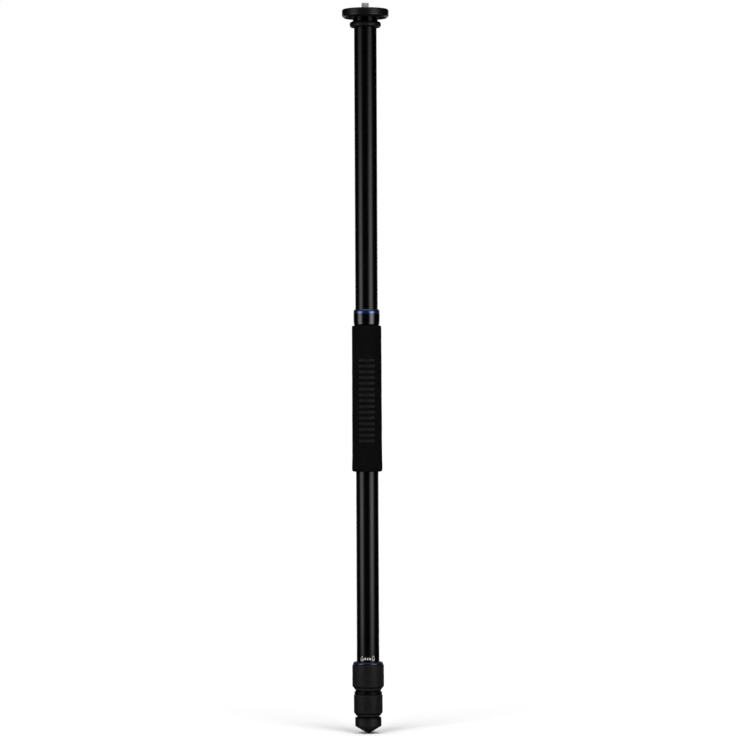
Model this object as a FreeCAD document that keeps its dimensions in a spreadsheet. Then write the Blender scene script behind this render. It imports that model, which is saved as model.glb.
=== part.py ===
import FreeCAD, Part
import math
import os
from types import SimpleNamespace

import Sketcher

# One detachable leg of a camera tripod with the tripod's centre column screwed into its top.
# Millimetres, +Z up, origin at the tip of the foot, every section pushed in.

# Driving sizes, which the sheet holds under these names
SIZES = {
    # gaps
    "glue_gap": 0.03,            # all round, between pieces that are glued or screwed tight
    "slide_gap": 0.05,           # all round, between pieces that slide or turn
    "face_gap": 0.05,            # end to end, between pieces that turn on each other
    "stop_gap": 0.3,             # end to end, where a moving piece stands at its stop
    "slack_gap": 0.4,            # all round, where a piece only passes another
    "bore_spare": 2.8,           # room past the end of a stud in its bore
    "bore_web": 5.0,             # solid left behind a blind bore
    # rubber foot
    "foot_radius": 16.35,
    "foot_cone_height": 9.3,
    "foot_side_height": 10.6,
    "foot_tip_round": 2.2,
    "foot_tip_radius": 1.4,
    "foot_tip_height": 0.7,
    "foot_edge": 0.8,
    "foot_disc_radius": 8.0,
    "foot_disc_height": 10.0,
    "foot_disc_thickness": 2.0,
    "foot_stud_radius": 3.95,
    "foot_stud_reach": 10.0,
    "foot_washer_wall": 3.9,     # how far the washer stands out past the lowest tube
    "foot_washer_thickness": 1.0,
    "foot_neck_height": 2.3,
    "foot_plug_head": 11.2,      # plug above its bore
    # telescopic tubes
    "leg_tube_radius": 14.0,
    "tube_wall": 1.2,
    "tube_step": 0.6,            # gap between one tube and the next, which the shims fill
    "shim_length": 30.0,
    "shim_slit": 1.5,
    "cap_rim": 2.0,
    "cap_spigot": 8.0,
    "cap_hole_radius": 4.0,
    "section_gap": 6.0,          # room above each section's cap
    "leg_bare_length": 236.4,    # upper tube seen between the first lock and the grip
    "leg_neck_height": 2.7,      # between the two locks
    # twist locks
    "lock_1_height": 34.6,
    "lock_2_height": 30.1,
    "lock_travel": 0.5,          # how far a nut moves down the leg as it opens
    "sleeve_wall": 2.0,
    "sleeve_lip": 1.6,
    "nut_wall": 1.5,
    "nut_floor": 3.0,
    "nut_flange_height": 2.0,
    "nut_flange_width": 0.35,
    "lock_grip_wall": 2.1,
    "lock_shoulder_round": 2.0,
    "lock_taper_height": 4.0,
    "lock_taper_width": 2.9,
    "lock_ring_height": 2.8,
    "lock_ring_wall": 4.9,
    "lock_1_ring_round": 2.4,
    "lock_2_ring_round": 0.6,
    "collet_length": 7.0,
    "collet_cone_height": 5.0,
    "collet_shoulder": 1.0,
    "collet_tip_wall": 1.2,
    "collet_slit": 1.2,
    "collet_slit_pairs": 3,      # an odd number, so that the slits lie evenly
    "collet_crown": 1.6,
    "seal_width": 3.85,
    "seal_seat": 1.0,
    # foam grip
    "grip_length": 182.0,
    "grip_wall": 4.4,
    "grip_taper": 0.25,          # growth in radius from the top to the flare
    "grip_flare": 0.35,          # further growth in radius at the lower end
    "grip_foot_height": 6.0,
    "grip_flare_height": 28.0,
    "grip_round": 1.7,
    # collar on the leg
    "collar_height": 14.5,
    "collar_draw": 0.7,          # how much the collar's side draws in at the grip
    "collar_curve_height": 9.0,
    "collar_curve": 60.0,
    "collar_boss_height": 1.0,
    "collar_spigot": 30.0,
    "collar_hollow_radius": 9.5,
    "collar_ring_height": 5.5,
    "collar_ring_side": 1.7,
    "collar_ring_wall": 1.9,
    "column_entry_gap": 0.5,     # all round, between the column and the ring it stands in
    "collar_ring_top_wall": 0.3,
    "collar_ring_curve": 5.3,
    # centre column
    "column_tube_radius": 14.0,
    "column_bare_length": 350.8,
    "column_end_length": 22.0,
    "column_stud_radius": 4.7625,
    "column_stud_reach": 12.0,
    "column_stud_tip": 0.8,
    "column_washer_thickness": 1.0,
    "column_washer_gap": 0.9,    # all round, between the washer and the ring it lies in
    "bumper_overhang": 5.6,
    "bumper_height": 7.5,
    "bumper_round": 3.2,
    "neck_step": 1.5,
    "neck_height": 4.5,
    "neck_edge": 0.6,
    "head_plug_length": 24.0,
    "head_hollow_radius": 9.0,
    # disc and camera screw
    "plate_radius": 29.05,
    "plate_thickness": 10.8,
    "plate_top_edge": 1.3,
    "plate_low_edge": 2.2,
    "pad_inner_radius": 9.5,
    "pad_outer_radius": 19.0,
    "pad_depth": 0.8,
    "pad_proud": 0.3,
    "screw_radius": 4.7625,
    "screw_height": 8.2,
    "screw_tip": 0.8,
    "screw_flange_radius": 7.0,
    "screw_flange_thickness": 1.6,
    "screw_shank_radius": 4.0,
    "screw_shank_length": 25.0,
    "screw_socket": 4.0,
    "screw_socket_depth": 4.0,
    "grub_radius": 2.0,
    "grub_circle": 23.8,
    "grub_count": 3,
    "grub_inset": 0.7,
    "grub_socket": 2.0,
    "grub_socket_depth": 2.0,
}

FULL_TURN = 360
HEX_SIDES = 6
EDGE_MATCH = 0.001


class Length:
    """A length worked out from the sheet: the expression that binds it, and its value now."""

    def __init__(self, text, value):
        self.text = text
        self.value = value

    def combined(self, sign, other, value):
        return Length(f"({self.text} {sign} {plain(other).text})", value)

    def __add__(self, other):
        return self.combined("+", other, self.value + plain(other).value)

    def __sub__(self, other):
        return self.combined("-", other, self.value - plain(other).value)

    def __mul__(self, other):
        return self.combined("*", other, self.value * plain(other).value)

    def __truediv__(self, other):
        return self.combined("/", other, self.value / plain(other).value)

    def __neg__(self):
        return Length(f"(0 - {self.text})", -self.value)


def plain(number):
    """Turn a bare number into a Length, and leave a Length as it is."""
    if isinstance(number, Length):
        return number
    return Length(f"({number})", float(number))


doc = FreeCAD.newDocument("TripodLeg")
sheet = doc.addObject("Spreadsheet::Sheet", "Sizes")
for row, (size_name, size_value) in enumerate(SIZES.items(), start=1):
    sheet.set(f"A{row}", str(size_value))
    sheet.setAlias(f"A{row}", size_name)
doc.recompute()
d = SimpleNamespace(**{name: Length(f"Sizes.{name}", value) for name, value in SIZES.items()})
ZERO = plain(0)
subparts = []


# Tools for building a piece

def origin_feature(body, role):
    return next(item for item in body.Origin.OriginFeatures if item.Role == role)


def pin_point(sketch, index, across, up):
    """Hold the start of one line or arc at a place worked out from the sheet."""
    for kind, axis, place in (("DistanceX", -2, across), ("DistanceY", -1, up)):
        if place.value == 0:
            sketch.addConstraint(Sketcher.Constraint("PointOnObject", index, 1, axis))
            continue
        held = sketch.addConstraint(Sketcher.Constraint(kind, -1, 1, index, 1, place.value))
        sketch.setExpression(f"Constraints[{held}]", place.text)


def arc_between(start, end, radius):
    """An arc that bulges outwards from an outline drawn anticlockwise."""
    middle = (start + end) * 0.5
    chord = end - start
    half = chord.Length / 2
    inward = FreeCAD.Vector(-chord.y, chord.x, 0).normalize()
    centre = middle + inward * math.sqrt(max(radius * radius - half * half, 0))
    first = math.atan2(start.y - centre.y, start.x - centre.x)
    last = math.atan2(end.y - centre.y, end.x - centre.x)
    circle = Part.Circle(centre, FreeCAD.Vector(0, 0, 1), radius)
    return Part.ArcOfCircle(circle, first, last)


def draw_outline(sketch, corners, arcs=None):
    """Draw a closed outline, anticlockwise. arcs gives the radius of the side after a corner."""
    arcs = arcs or {}
    corners = [(plain(across), plain(up)) for across, up in corners]
    count = len(corners)
    points = [FreeCAD.Vector(across.value, up.value, 0) for across, up in corners]
    for index, start in enumerate(points):
        end = points[(index + 1) % count]
        if index in arcs:
            sketch.addGeometry(arc_between(start, end, arcs[index].value), False)
        else:
            sketch.addGeometry(Part.LineSegment(start, end), False)
    for index in range(count):
        after = (index + 1) % count
        sketch.addConstraint(Sketcher.Constraint("Coincident", index, 2, after, 1))
    for index, (across, up) in enumerate(corners):
        pin_point(sketch, index, across, up)
    for index, radius in arcs.items():
        held = sketch.addConstraint(Sketcher.Constraint("Radius", index, radius.value))
        sketch.setExpression(f"Constraints[{held}]", radius.text)


def new_sketch(body, name, role, height=None):
    sketch = body.newObject("Sketcher::SketchObject", name)
    sketch.AttachmentSupport = [(origin_feature(body, role), "")]
    sketch.MapMode = "FlatFace"
    if height is not None:
        sketch.setExpression("AttachmentOffset.Base.z", height.text)
    return sketch


def add_circle(sketch, across, radius):
    """A circle on the first axis of a sketch."""
    centre = FreeCAD.Vector(across.value, 0, 0)
    sketch.addGeometry(Part.Circle(centre, FreeCAD.Vector(0, 0, 1), radius.value), False)
    sketch.addConstraint(Sketcher.Constraint("PointOnObject", 0, 3, -1))
    for kind, value in (("DistanceX", across), ("Radius", radius)):
        if kind == "Radius":
            held = sketch.addConstraint(Sketcher.Constraint(kind, 0, value.value))
        else:
            held = sketch.addConstraint(Sketcher.Constraint(kind, -1, 1, 0, 3, value.value))
        sketch.setExpression(f"Constraints[{held}]", value.text)


def new_body(label, level):
    """A piece whose own zero height stands at the given level."""
    body = doc.addObject("PartDesign::Body", label)
    body.Label = label
    body.setExpression("Placement.Base.z", plain(level).text)
    subparts.append(body)
    return body


def turned(label, level, outline, arcs=None):
    """A round piece: an outline of radius and height, turned about the long axis."""
    body = new_body(label, level)
    sketch = new_sketch(body, f"{label}_outline", "XZ_Plane")
    draw_outline(sketch, outline, arcs)
    turn = body.newObject("PartDesign::Revolution", f"{label}_turn")
    turn.Profile = sketch
    turn.ReferenceAxis = (sketch, ["V_Axis"])
    turn.Angle = FULL_TURN
    doc.recompute()
    return body


def ring(label, level, bore, radius, low, high):
    """A plain ring or tube between two heights."""
    return turned(label, level, [(bore, low), (radius, low), (radius, high), (bore, high)])


def cut_down(body, name, height, corners, depth=None):
    """Cut an outline downwards from a height: right through, or to a depth."""
    before = body.Shape.Volume
    sketch = new_sketch(body, f"{name}_outline", "XY_Plane", height)
    draw_outline(sketch, corners)
    pocket = body.newObject("PartDesign::Pocket", name)
    pocket.Profile = sketch
    if depth is None:
        pocket.Type = "ThroughAll"
    else:
        pocket.Type = "Length"
        pocket.setExpression("Length", depth.text)
    doc.recompute()
    if not body.Shape.Volume < before:
        raise RuntimeError(f"{name} cuts nothing")
    return pocket


def repeat_round(body, name, features, count):
    """Repeat features evenly about the long axis."""
    pattern = body.newObject("PartDesign::PolarPattern", name)
    pattern.Originals = features
    pattern.Axis = (origin_feature(body, "Z_Axis"), [""])
    pattern.Angle = FULL_TURN
    pattern.setExpression("Occurrences", count.text)
    body.Tip = pattern
    doc.recompute()
    return pattern


def hexagon(width, centre_across=ZERO):
    """Corners of a six-sided socket of the given width across its flats."""
    reach = width / math.sqrt(3)
    turns = [math.radians(FULL_TURN * side / HEX_SIDES) for side in range(HEX_SIDES)]
    corners = []
    for turn in turns:
        up = reach * round(math.sin(turn), 9) if abs(math.sin(turn)) > EDGE_MATCH else ZERO
        corners.append((centre_across + reach * round(math.cos(turn), 9), up))
    return corners


def slot_across(width, reach):
    """Corners of a long slot that crosses the axis."""
    half = width / 2
    return [(-reach, -half), (reach, -half), (reach, half), (-reach, half)]


# Levels, from the ground up

foot_top = d.foot_cone_height + d.foot_side_height
lock_2_low = foot_top + d.foot_neck_height
lock_2_top = lock_2_low + d.lock_2_height
lock_1_low = lock_2_top + d.leg_neck_height
lock_1_top = lock_1_low + d.lock_1_height
grip_low = lock_1_top + d.leg_bare_length
leg_top = grip_low + d.grip_length
collar_shoulder = leg_top + d.collar_height
collar_top = collar_shoulder + d.collar_boss_height
column_low = collar_top + d.column_washer_thickness + d.face_gap * 2
column_high = collar_shoulder + d.collar_ring_height + d.column_bare_length
neck_low = column_high + d.bumper_height
plate_low = neck_low + d.neck_height
plate_top = plate_low + d.plate_thickness

# Radii of the telescopic tubes

section_radius = {1: d.leg_tube_radius}
for section in (2, 3):
    section_radius[section] = section_radius[section - 1] - d.tube_wall - d.tube_step
section_bore = {section: radius - d.tube_wall for section, radius in section_radius.items()}

# Radii that go with the column

column_bore = d.column_tube_radius - d.tube_wall
collar_bore = d.column_tube_radius + d.column_entry_gap
collar_radius = collar_bore + d.collar_ring_wall


# Centre column

def make_camera_screw():
    """3/8 in stud with a flange let into the disc and a shank that screws into the head."""
    body = turned("camera_screw", plate_top, [
        (ZERO, -d.screw_shank_length),
        (d.screw_shank_radius, -d.screw_shank_length),
        (d.screw_shank_radius, -d.screw_flange_thickness),
        (d.screw_flange_radius, -d.screw_flange_thickness),
        (d.screw_flange_radius, ZERO),
        (d.screw_radius, ZERO),
        (d.screw_radius, d.screw_height - d.screw_tip),
        (d.screw_radius - d.screw_tip, d.screw_height),
        (ZERO, d.screw_height)])
    cut_down(body, "camera_screw_socket", d.screw_height, hexagon(d.screw_socket), d.screw_socket_depth)


def make_top_plate():
    """Disc that the camera or its head stands on."""
    thick = d.plate_thickness
    flange_bore = d.screw_flange_radius + d.glue_gap
    pad_floor = thick - d.pad_depth
    pad_inner = d.pad_inner_radius - d.glue_gap
    pad_outer = d.pad_outer_radius + d.glue_gap
    shank_bore = d.screw_shank_radius + d.glue_gap
    body = turned("top_plate", plate_low, [
        (shank_bore, ZERO),
        (d.plate_radius - d.plate_low_edge, ZERO),
        (d.plate_radius, d.plate_low_edge),
        (d.plate_radius, thick - d.plate_top_edge),
        (d.plate_radius - d.plate_top_edge, thick),
        (pad_outer, thick),
        (pad_outer, pad_floor),
        (pad_inner, pad_floor),
        (pad_inner, thick),
        (flange_bore, thick),
        (flange_bore, thick - d.screw_flange_thickness),
        (shank_bore, thick - d.screw_flange_thickness)])
    before = body.Shape.Volume
    sketch = new_sketch(body, "grub_hole_circle", "XY_Plane", thick)
    add_circle(sketch, d.grub_circle, d.grub_radius + d.glue_gap)
    hole = body.newObject("PartDesign::Pocket", "grub_hole")
    hole.Profile = sketch
    hole.Type = "ThroughAll"
    doc.recompute()
    repeat_round(body, "grub_holes", [hole], d.grub_count)
    if not body.Shape.Volume < before:
        raise RuntimeError("the set screw holes cut nothing")


def make_plate_pad():
    ring("plate_pad", plate_top, d.pad_inner_radius, d.pad_outer_radius, -d.pad_depth, d.pad_proud)


def make_grub_screws():
    """Set screws that reach through the disc and bite on what stands on it."""
    body = new_body("grub_screws", plate_low)
    sketch = new_sketch(body, "grub_screw_circle", "XY_Plane", d.grub_inset)
    add_circle(sketch, d.grub_circle, d.grub_radius)
    shank = body.newObject("PartDesign::Pad", "grub_screw")
    shank.Profile = sketch
    shank.Type = "Length"
    shank.setExpression("Length", (d.plate_thickness - d.grub_inset * 2).text)
    doc.recompute()
    socket = cut_down(body, "grub_socket", d.grub_inset + d.grub_socket_depth,
                      hexagon(d.grub_socket, d.grub_circle), d.grub_socket_depth)
    repeat_round(body, "grub_screw_set", [shank, socket], d.grub_count)


def make_column_head():
    """Neck under the disc, and the plug that holds it in the column."""
    plug = column_bore - d.glue_gap
    neck = d.column_tube_radius + d.neck_step
    low = -(d.neck_height + d.bumper_height + d.head_plug_length)
    bore = d.screw_shank_radius + d.glue_gap
    bore_end = d.plate_thickness - d.screw_shank_length - d.bore_spare
    turned("column_head", plate_low, [
        (d.head_hollow_radius, low),
        (plug, low),
        (plug, -d.neck_height),
        (neck - d.neck_edge, -d.neck_height),
        (neck, -d.neck_height + d.neck_edge),
        (neck, ZERO),
        (bore, ZERO),
        (bore, bore_end),
        (ZERO, bore_end),
        (ZERO, bore_end - d.bore_web),
        (d.head_hollow_radius, bore_end - d.bore_web)])


def make_bumper_ring():
    """Rubber ring between the neck and the column's top end."""
    outer = d.column_tube_radius + d.bumper_overhang
    flat = outer - d.bumper_round
    turned("bumper_ring", column_high, [
        (column_bore, ZERO),
        (flat, ZERO),
        (outer, d.bumper_round),
        (outer, d.bumper_height - d.bumper_round),
        (flat, d.bumper_height),
        (column_bore, d.bumper_height)],
        {1: d.bumper_round, 3: d.bumper_round})


def make_column_tube():
    ring("column_tube", column_low, column_bore, d.column_tube_radius, ZERO, column_high - column_low)


def make_column_end():
    """Fitting in the column's lower end, with the stud that screws into the leg."""
    plug = column_bore - d.glue_gap
    low = -(d.column_stud_reach + d.column_washer_thickness)
    turned("column_end", column_low, [
        (ZERO, low),
        (d.column_stud_radius - d.column_stud_tip, low),
        (d.column_stud_radius, low + d.column_stud_tip),
        (d.column_stud_radius, ZERO),
        (plug, ZERO),
        (plug, d.column_end_length),
        (ZERO, d.column_end_length)])


def make_column_washer():
    ring("column_washer", collar_top, d.column_stud_radius + d.slack_gap,
         collar_bore - d.column_washer_gap, d.face_gap, d.face_gap + d.column_washer_thickness)


# Upper leg

def make_leg_collar():
    """Threaded collar glued into the upper tube; the column's stud screws into it."""
    spigot = section_bore[1] - d.glue_gap
    top = d.collar_height + d.collar_boss_height
    bore = d.column_stud_radius + d.slide_gap
    bore_end = top - d.column_stud_reach - d.bore_spare
    boss = collar_bore - d.glue_gap
    turned("leg_collar", leg_top, [
        (d.collar_hollow_radius, -d.collar_spigot),
        (spigot, -d.collar_spigot),
        (spigot, ZERO),
        (collar_radius - d.collar_draw, ZERO),
        (collar_radius, d.collar_curve_height),
        (collar_radius, d.collar_height),
        (boss, d.collar_height),
        (boss, top),
        (bore, top),
        (bore, bore_end),
        (ZERO, bore_end),
        (ZERO, bore_end - d.bore_web),
        (d.collar_hollow_radius, bore_end - d.bore_web)],
        {3: d.collar_curve})


def make_collar_ring():
    """Anodised ring round the collar's boss and the column's lower end."""
    turned("collar_ring", collar_shoulder, [
        (collar_bore, ZERO),
        (collar_radius, ZERO),
        (collar_radius, d.collar_ring_side),
        (collar_bore + d.collar_ring_top_wall, d.collar_ring_height),
        (collar_bore, d.collar_ring_height)],
        {2: d.collar_ring_curve})


def make_foam_grip():
    bore = d.leg_tube_radius + d.glue_gap
    top_radius = d.leg_tube_radius + d.grip_wall
    low_radius = top_radius + d.grip_taper
    flare_radius = low_radius + d.grip_flare
    turned("foam_grip", grip_low, [
        (bore, ZERO),
        (flare_radius - d.grip_round, ZERO),
        (flare_radius, d.grip_round),
        (flare_radius, d.grip_foot_height),
        (low_radius, d.grip_flare_height),
        (top_radius, d.grip_length - d.grip_round),
        (top_radius - d.grip_round, d.grip_length),
        (bore, d.grip_length)],
        {1: d.grip_round, 5: d.grip_round})


# Twist locks

lock_top = {1: lock_1_top, 2: lock_2_top}
lock_height = {1: d.lock_1_height, 2: d.lock_2_height}
lock_ring_round = {1: d.lock_1_ring_round, 2: d.lock_2_ring_round}
seal_drop = {
    1: d.leg_neck_height - d.stop_gap - d.lock_travel,
    2: d.foot_neck_height - d.foot_washer_thickness - d.stop_gap - d.lock_travel,
}
cone_floor = {lock: d.nut_floor - height for lock, height in lock_height.items()}
collet_top = {lock: floor + d.collet_length for lock, floor in cone_floor.items()}
sleeve_low = {lock: top + d.stop_gap for lock, top in collet_top.items()}
tube_end = {lock: lock_top[lock] + low + d.sleeve_lip for lock, low in sleeve_low.items()}


def nut_radius(lock):
    return section_radius[lock] + d.sleeve_wall + d.slide_gap + d.nut_wall


def grip_radius(lock):
    return nut_radius(lock) + d.glue_gap + d.lock_grip_wall


def make_leg_sleeve(lock):
    """Threaded sleeve glued on a tube's lower end; its lip stops the next tube's shims."""
    bore = section_radius[lock] + d.glue_gap
    lip_bore = section_radius[lock + 1] + d.slack_gap
    outer = section_radius[lock] + d.sleeve_wall
    low = sleeve_low[lock]
    turned(f"leg_sleeve_{lock}", lock_top[lock], [
        (lip_bore, low),
        (outer, low),
        (outer, -d.lock_ring_height),
        (bore, -d.lock_ring_height),
        (bore, low + d.sleeve_lip),
        (lip_bore, low + d.sleeve_lip)])


def make_lock_ring(lock):
    """Anodised ring on the tube, above the nut."""
    bore = section_radius[lock] + d.glue_gap
    outer = section_radius[lock] + d.lock_ring_wall
    turned(f"lock_{lock}_ring", lock_top[lock], [
        (bore, -d.lock_ring_height),
        (outer, -d.lock_ring_height),
        (outer, -lock_ring_round[lock]),
        (outer - lock_ring_round[lock], ZERO),
        (bore, ZERO)],
        {2: lock_ring_round[lock]})


def make_collet(lock):
    """Split cone that the nut squeezes on the next tube."""
    inner = section_radius[lock + 1]
    bore = inner + d.slide_gap
    outer = section_radius[lock] + d.collet_shoulder
    floor = cone_floor[lock] + d.face_gap
    top = collet_top[lock]
    body = turned(f"lock_{lock}_collet", lock_top[lock], [
        (bore, floor),
        (inner + d.collet_tip_wall, floor),
        (outer, floor + d.collet_cone_height),
        (outer, top),
        (bore, top)])
    slit = cut_down(body, f"lock_{lock}_collet_slit", top - d.collet_crown,
                    slot_across(d.collet_slit, outer * 2))
    repeat_round(body, f"lock_{lock}_collet_slits", [slit], d.collet_slit_pairs)


def make_nut(lock):
    """Nut that turns on the sleeve's thread and presses the collet with its inner cone."""
    inner = section_radius[lock + 1]
    thread = section_radius[lock] + d.sleeve_wall + d.slide_gap
    outer = nut_radius(lock)
    top = -(d.lock_ring_height + d.stop_gap)
    low = -lock_height[lock]
    floor = cone_floor[lock]
    cone_top = section_radius[lock] + d.collet_shoulder + d.slide_gap
    passage = inner + d.slack_gap
    seal_seat = inner + d.seal_width + d.glue_gap
    turned(f"lock_{lock}_nut", lock_top[lock], [
        (seal_seat, low),
        (grip_radius(lock) - d.lock_taper_width, low),
        (outer + d.nut_flange_width, low + d.nut_flange_height),
        (outer, low + d.nut_flange_height),
        (outer, top),
        (thread, top),
        (thread, collet_top[lock]),
        (cone_top, collet_top[lock]),
        (cone_top, floor + d.face_gap + d.collet_cone_height),
        (inner + d.collet_tip_wall + d.slide_gap, floor),
        (passage, floor),
        (passage, low + d.seal_seat),
        (seal_seat, low + d.seal_seat)])


def make_lock_grip(lock):
    """Rubber sleeve on the nut, which the hand turns."""
    bore = nut_radius(lock) + d.glue_gap
    outer = grip_radius(lock)
    low = d.nut_flange_height - lock_height[lock]
    top = -(d.lock_ring_height + d.stop_gap)
    turned(f"lock_{lock}_grip", lock_top[lock], [
        (bore, low),
        (bore + d.nut_flange_width, low),
        (outer, d.lock_taper_height - lock_height[lock]),
        (outer, top - d.lock_shoulder_round),
        (outer - d.lock_shoulder_round, top),
        (bore, top)],
        {3: d.lock_shoulder_round})


def make_seal(lock):
    """Dust ring in the nut's lower face."""
    inner = section_radius[lock + 1]
    low = -lock_height[lock]
    ring(f"lock_{lock}_seal", lock_top[lock], inner + d.slide_gap, inner + d.seal_width,
         low - seal_drop[lock], low + d.seal_seat)


# Tubes of the leg, from the outer one to the inner one

section_low = {1: tube_end[1], 2: tube_end[2], 3: foot_top + d.foot_washer_thickness + d.face_gap * 2}
section_high = {
    1: leg_top,
    2: leg_top - d.collar_spigot - d.section_gap - d.cap_rim,
}
section_high[3] = section_high[2] - d.cap_spigot - d.section_gap - d.cap_rim


def make_leg_tube(section):
    ring(f"leg_tube_{section}", section_low[section], section_bore[section], section_radius[section],
         ZERO, section_high[section] - section_low[section])


def make_shims(section):
    """Two half sleeves that guide a tube's top end in the tube above."""
    outer = section_bore[section - 1] - d.slide_gap
    body = ring(f"tube_{section}_shims", section_high[section], section_radius[section] + d.glue_gap,
                outer, -d.shim_length, ZERO)
    cut_down(body, f"tube_{section}_shim_slit", ZERO, slot_across(d.shim_slit, outer * 2))


def make_cap(section):
    """Plug ring on a tube's top end."""
    spigot = section_bore[section] - d.glue_gap
    turned(f"tube_{section}_cap", section_high[section], [
        (d.cap_hole_radius, -d.cap_spigot),
        (spigot, -d.cap_spigot),
        (spigot, ZERO),
        (section_radius[section], ZERO),
        (section_radius[section], d.cap_rim),
        (d.cap_hole_radius, d.cap_rim)])


# Foot

def make_foot_plug():
    """Threaded plug in the lowest tube's bottom end."""
    radius = section_bore[3] - d.glue_gap
    bore = d.foot_stud_radius + d.slide_gap
    bore_end = d.foot_stud_reach + d.bore_spare
    turned("foot_plug", section_low[3], [
        (bore, ZERO),
        (radius, ZERO),
        (radius, bore_end + d.foot_plug_head),
        (ZERO, bore_end + d.foot_plug_head),
        (ZERO, bore_end),
        (bore, bore_end)])


def make_foot_washer():
    ring("foot_washer", foot_top, d.foot_stud_radius + d.slack_gap,
         section_radius[3] + d.foot_washer_wall, d.face_gap, d.face_gap + d.foot_washer_thickness)


def make_foot_stud():
    """Steel stud whose disc is moulded into the rubber."""
    disc_top = d.foot_disc_height + d.foot_disc_thickness
    top = foot_top + d.foot_washer_thickness + d.foot_stud_reach
    turned("foot_stud", ZERO, [
        (ZERO, d.foot_disc_height),
        (d.foot_disc_radius, d.foot_disc_height),
        (d.foot_disc_radius, disc_top),
        (d.foot_stud_radius, disc_top),
        (d.foot_stud_radius, top),
        (ZERO, top)])


def make_rubber_foot():
    """Pointed rubber foot with a straight side and a cone down to a small round tip."""
    bore = d.foot_stud_radius + d.glue_gap
    cavity = d.foot_disc_radius + d.glue_gap
    cavity_low = d.foot_disc_height - d.glue_gap
    cavity_top = d.foot_disc_height + d.foot_disc_thickness + d.glue_gap
    turned("rubber_foot", ZERO, [
        (ZERO, ZERO),
        (d.foot_tip_radius, d.foot_tip_height),
        (d.foot_radius, d.foot_cone_height),
        (d.foot_radius, foot_top - d.foot_edge),
        (d.foot_radius - d.foot_edge, foot_top),
        (bore, foot_top),
        (bore, cavity_top),
        (cavity, cavity_top),
        (cavity, cavity_low),
        (ZERO, cavity_low)],
        {0: d.foot_tip_round})


# The whole object

make_camera_screw()
make_top_plate()
make_plate_pad()
make_grub_screws()
make_column_head()
make_bumper_ring()
make_column_tube()
make_column_end()
make_column_washer()
make_leg_collar()
make_collar_ring()
make_foam_grip()
for lock in (1, 2):
    make_leg_sleeve(lock)
    make_lock_ring(lock)
    make_collet(lock)
    make_nut(lock)
    make_lock_grip(lock)
    make_seal(lock)
for section in (1, 2, 3):
    make_leg_tube(section)
for section in (2, 3):
    make_shims(section)
    make_cap(section)
make_foot_plug()
make_foot_washer()
make_foot_stud()
make_rubber_foot()
doc.recompute()

# Every object has to be sound before anything is written

for item in doc.Objects:
    if "Invalid" in item.State or "Error" in item.State:
        raise RuntimeError(f"{item.Label} failed: {item.State}")
for subpart in subparts:
    if subpart.Shape.isNull() or not subpart.Shape.isValid():
        raise RuntimeError(f"{subpart.Label} has no sound shape")

os.makedirs("parts", exist_ok=True)
for subpart in subparts:
    subpart.Shape.exportStep(os.path.join("parts", f"{subpart.Label}.step"))
    box = subpart.Shape.BoundBox
    print(f"{subpart.Label}: solids {len(subpart.Shape.Solids)}, volume {subpart.Shape.Volume:.1f}, "
          f"radius {box.XMax:.2f}, z {box.ZMin:.2f} to {box.ZMax:.2f}")
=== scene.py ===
"""Looks of a detachable tripod leg with the tripod's centre column on it, round the packed frame."""

import functools
import math
from typing import NamedTuple

import bmesh
import bpy
from bpy.props import FloatProperty, FloatVectorProperty, IntProperty, PointerProperty
from mathutils import Matrix, Vector


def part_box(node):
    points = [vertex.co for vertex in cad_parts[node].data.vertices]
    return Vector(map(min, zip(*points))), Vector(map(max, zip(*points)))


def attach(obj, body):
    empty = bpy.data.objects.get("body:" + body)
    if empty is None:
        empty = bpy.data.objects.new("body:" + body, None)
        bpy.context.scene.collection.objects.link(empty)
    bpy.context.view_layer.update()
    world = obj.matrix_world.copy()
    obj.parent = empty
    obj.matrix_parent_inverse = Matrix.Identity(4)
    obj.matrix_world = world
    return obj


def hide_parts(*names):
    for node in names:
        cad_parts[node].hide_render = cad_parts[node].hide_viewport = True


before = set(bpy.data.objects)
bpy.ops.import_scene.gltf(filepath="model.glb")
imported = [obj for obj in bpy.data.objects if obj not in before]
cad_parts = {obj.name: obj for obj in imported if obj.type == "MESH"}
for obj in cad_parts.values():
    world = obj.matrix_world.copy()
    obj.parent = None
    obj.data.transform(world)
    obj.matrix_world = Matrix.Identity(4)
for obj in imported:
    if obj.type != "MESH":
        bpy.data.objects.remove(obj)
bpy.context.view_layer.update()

bl_info = {
    "name": "Tripod leg with centre column",
    "version": (1, 0, 0),
    "blender": (4, 5, 0),
    "location": "3D View > Sidebar > Tripod leg",
    "description": "Builds and finishes every visible piece of a one-legged camera support",
    "category": "Object",
}

MM = 0.001
TINY = 1e-7
FILLET_STEPS = 4
SUPPORT_SHARE = 0.3
SMOOTH_LIMIT = math.radians(40)
FACING_CAMERA = -math.pi / 2
SOFT = "SMOOTHSTEP"

# Fits and screw sizes that several pieces share
FIT = 0.05 * MM
SCREW_CREST = 4.7625 * MM
SCREW_SHANK = 4.0 * MM
SCREW_HEAD = 1.6 * MM
COARSE_DEPTH = 0.86 * MM
THREAD_END = 0.02 * MM
PAD_BORE = 9.5 * MM
STUD_HEAD = 2.0 * MM


class Span(NamedTuple):
    """How far a round CAD node reaches: its radius, and its lowest and highest point."""
    radius: float
    low: float
    high: float


def span(node):
    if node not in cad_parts:
        raise RuntimeError(f"The frame has no node named {node}")
    low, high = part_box(node)
    return Span(high.x, low.z, high.z)


# Outlines of turned pieces

class Corner(NamedTuple):
    """A corner of an outline: distance from the axis, height, fillet, and sides if it isn't round."""
    radius: float
    height: float
    fillet: float = 0.0
    sides: int = 0


def bowed(start, end, rise, steps):
    """Corners between two others along a shallow curve that stands out by rise in its middle."""
    first, last = Vector(start[:2]), Vector(end[:2])
    along = last - first
    outward = Vector((along.y, -along.x)).normalized()
    shares = [step / steps for step in range(1, steps)]
    return [tuple(first + along * share + outward * rise * 4 * share * (1 - share)) for share in shares]


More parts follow.
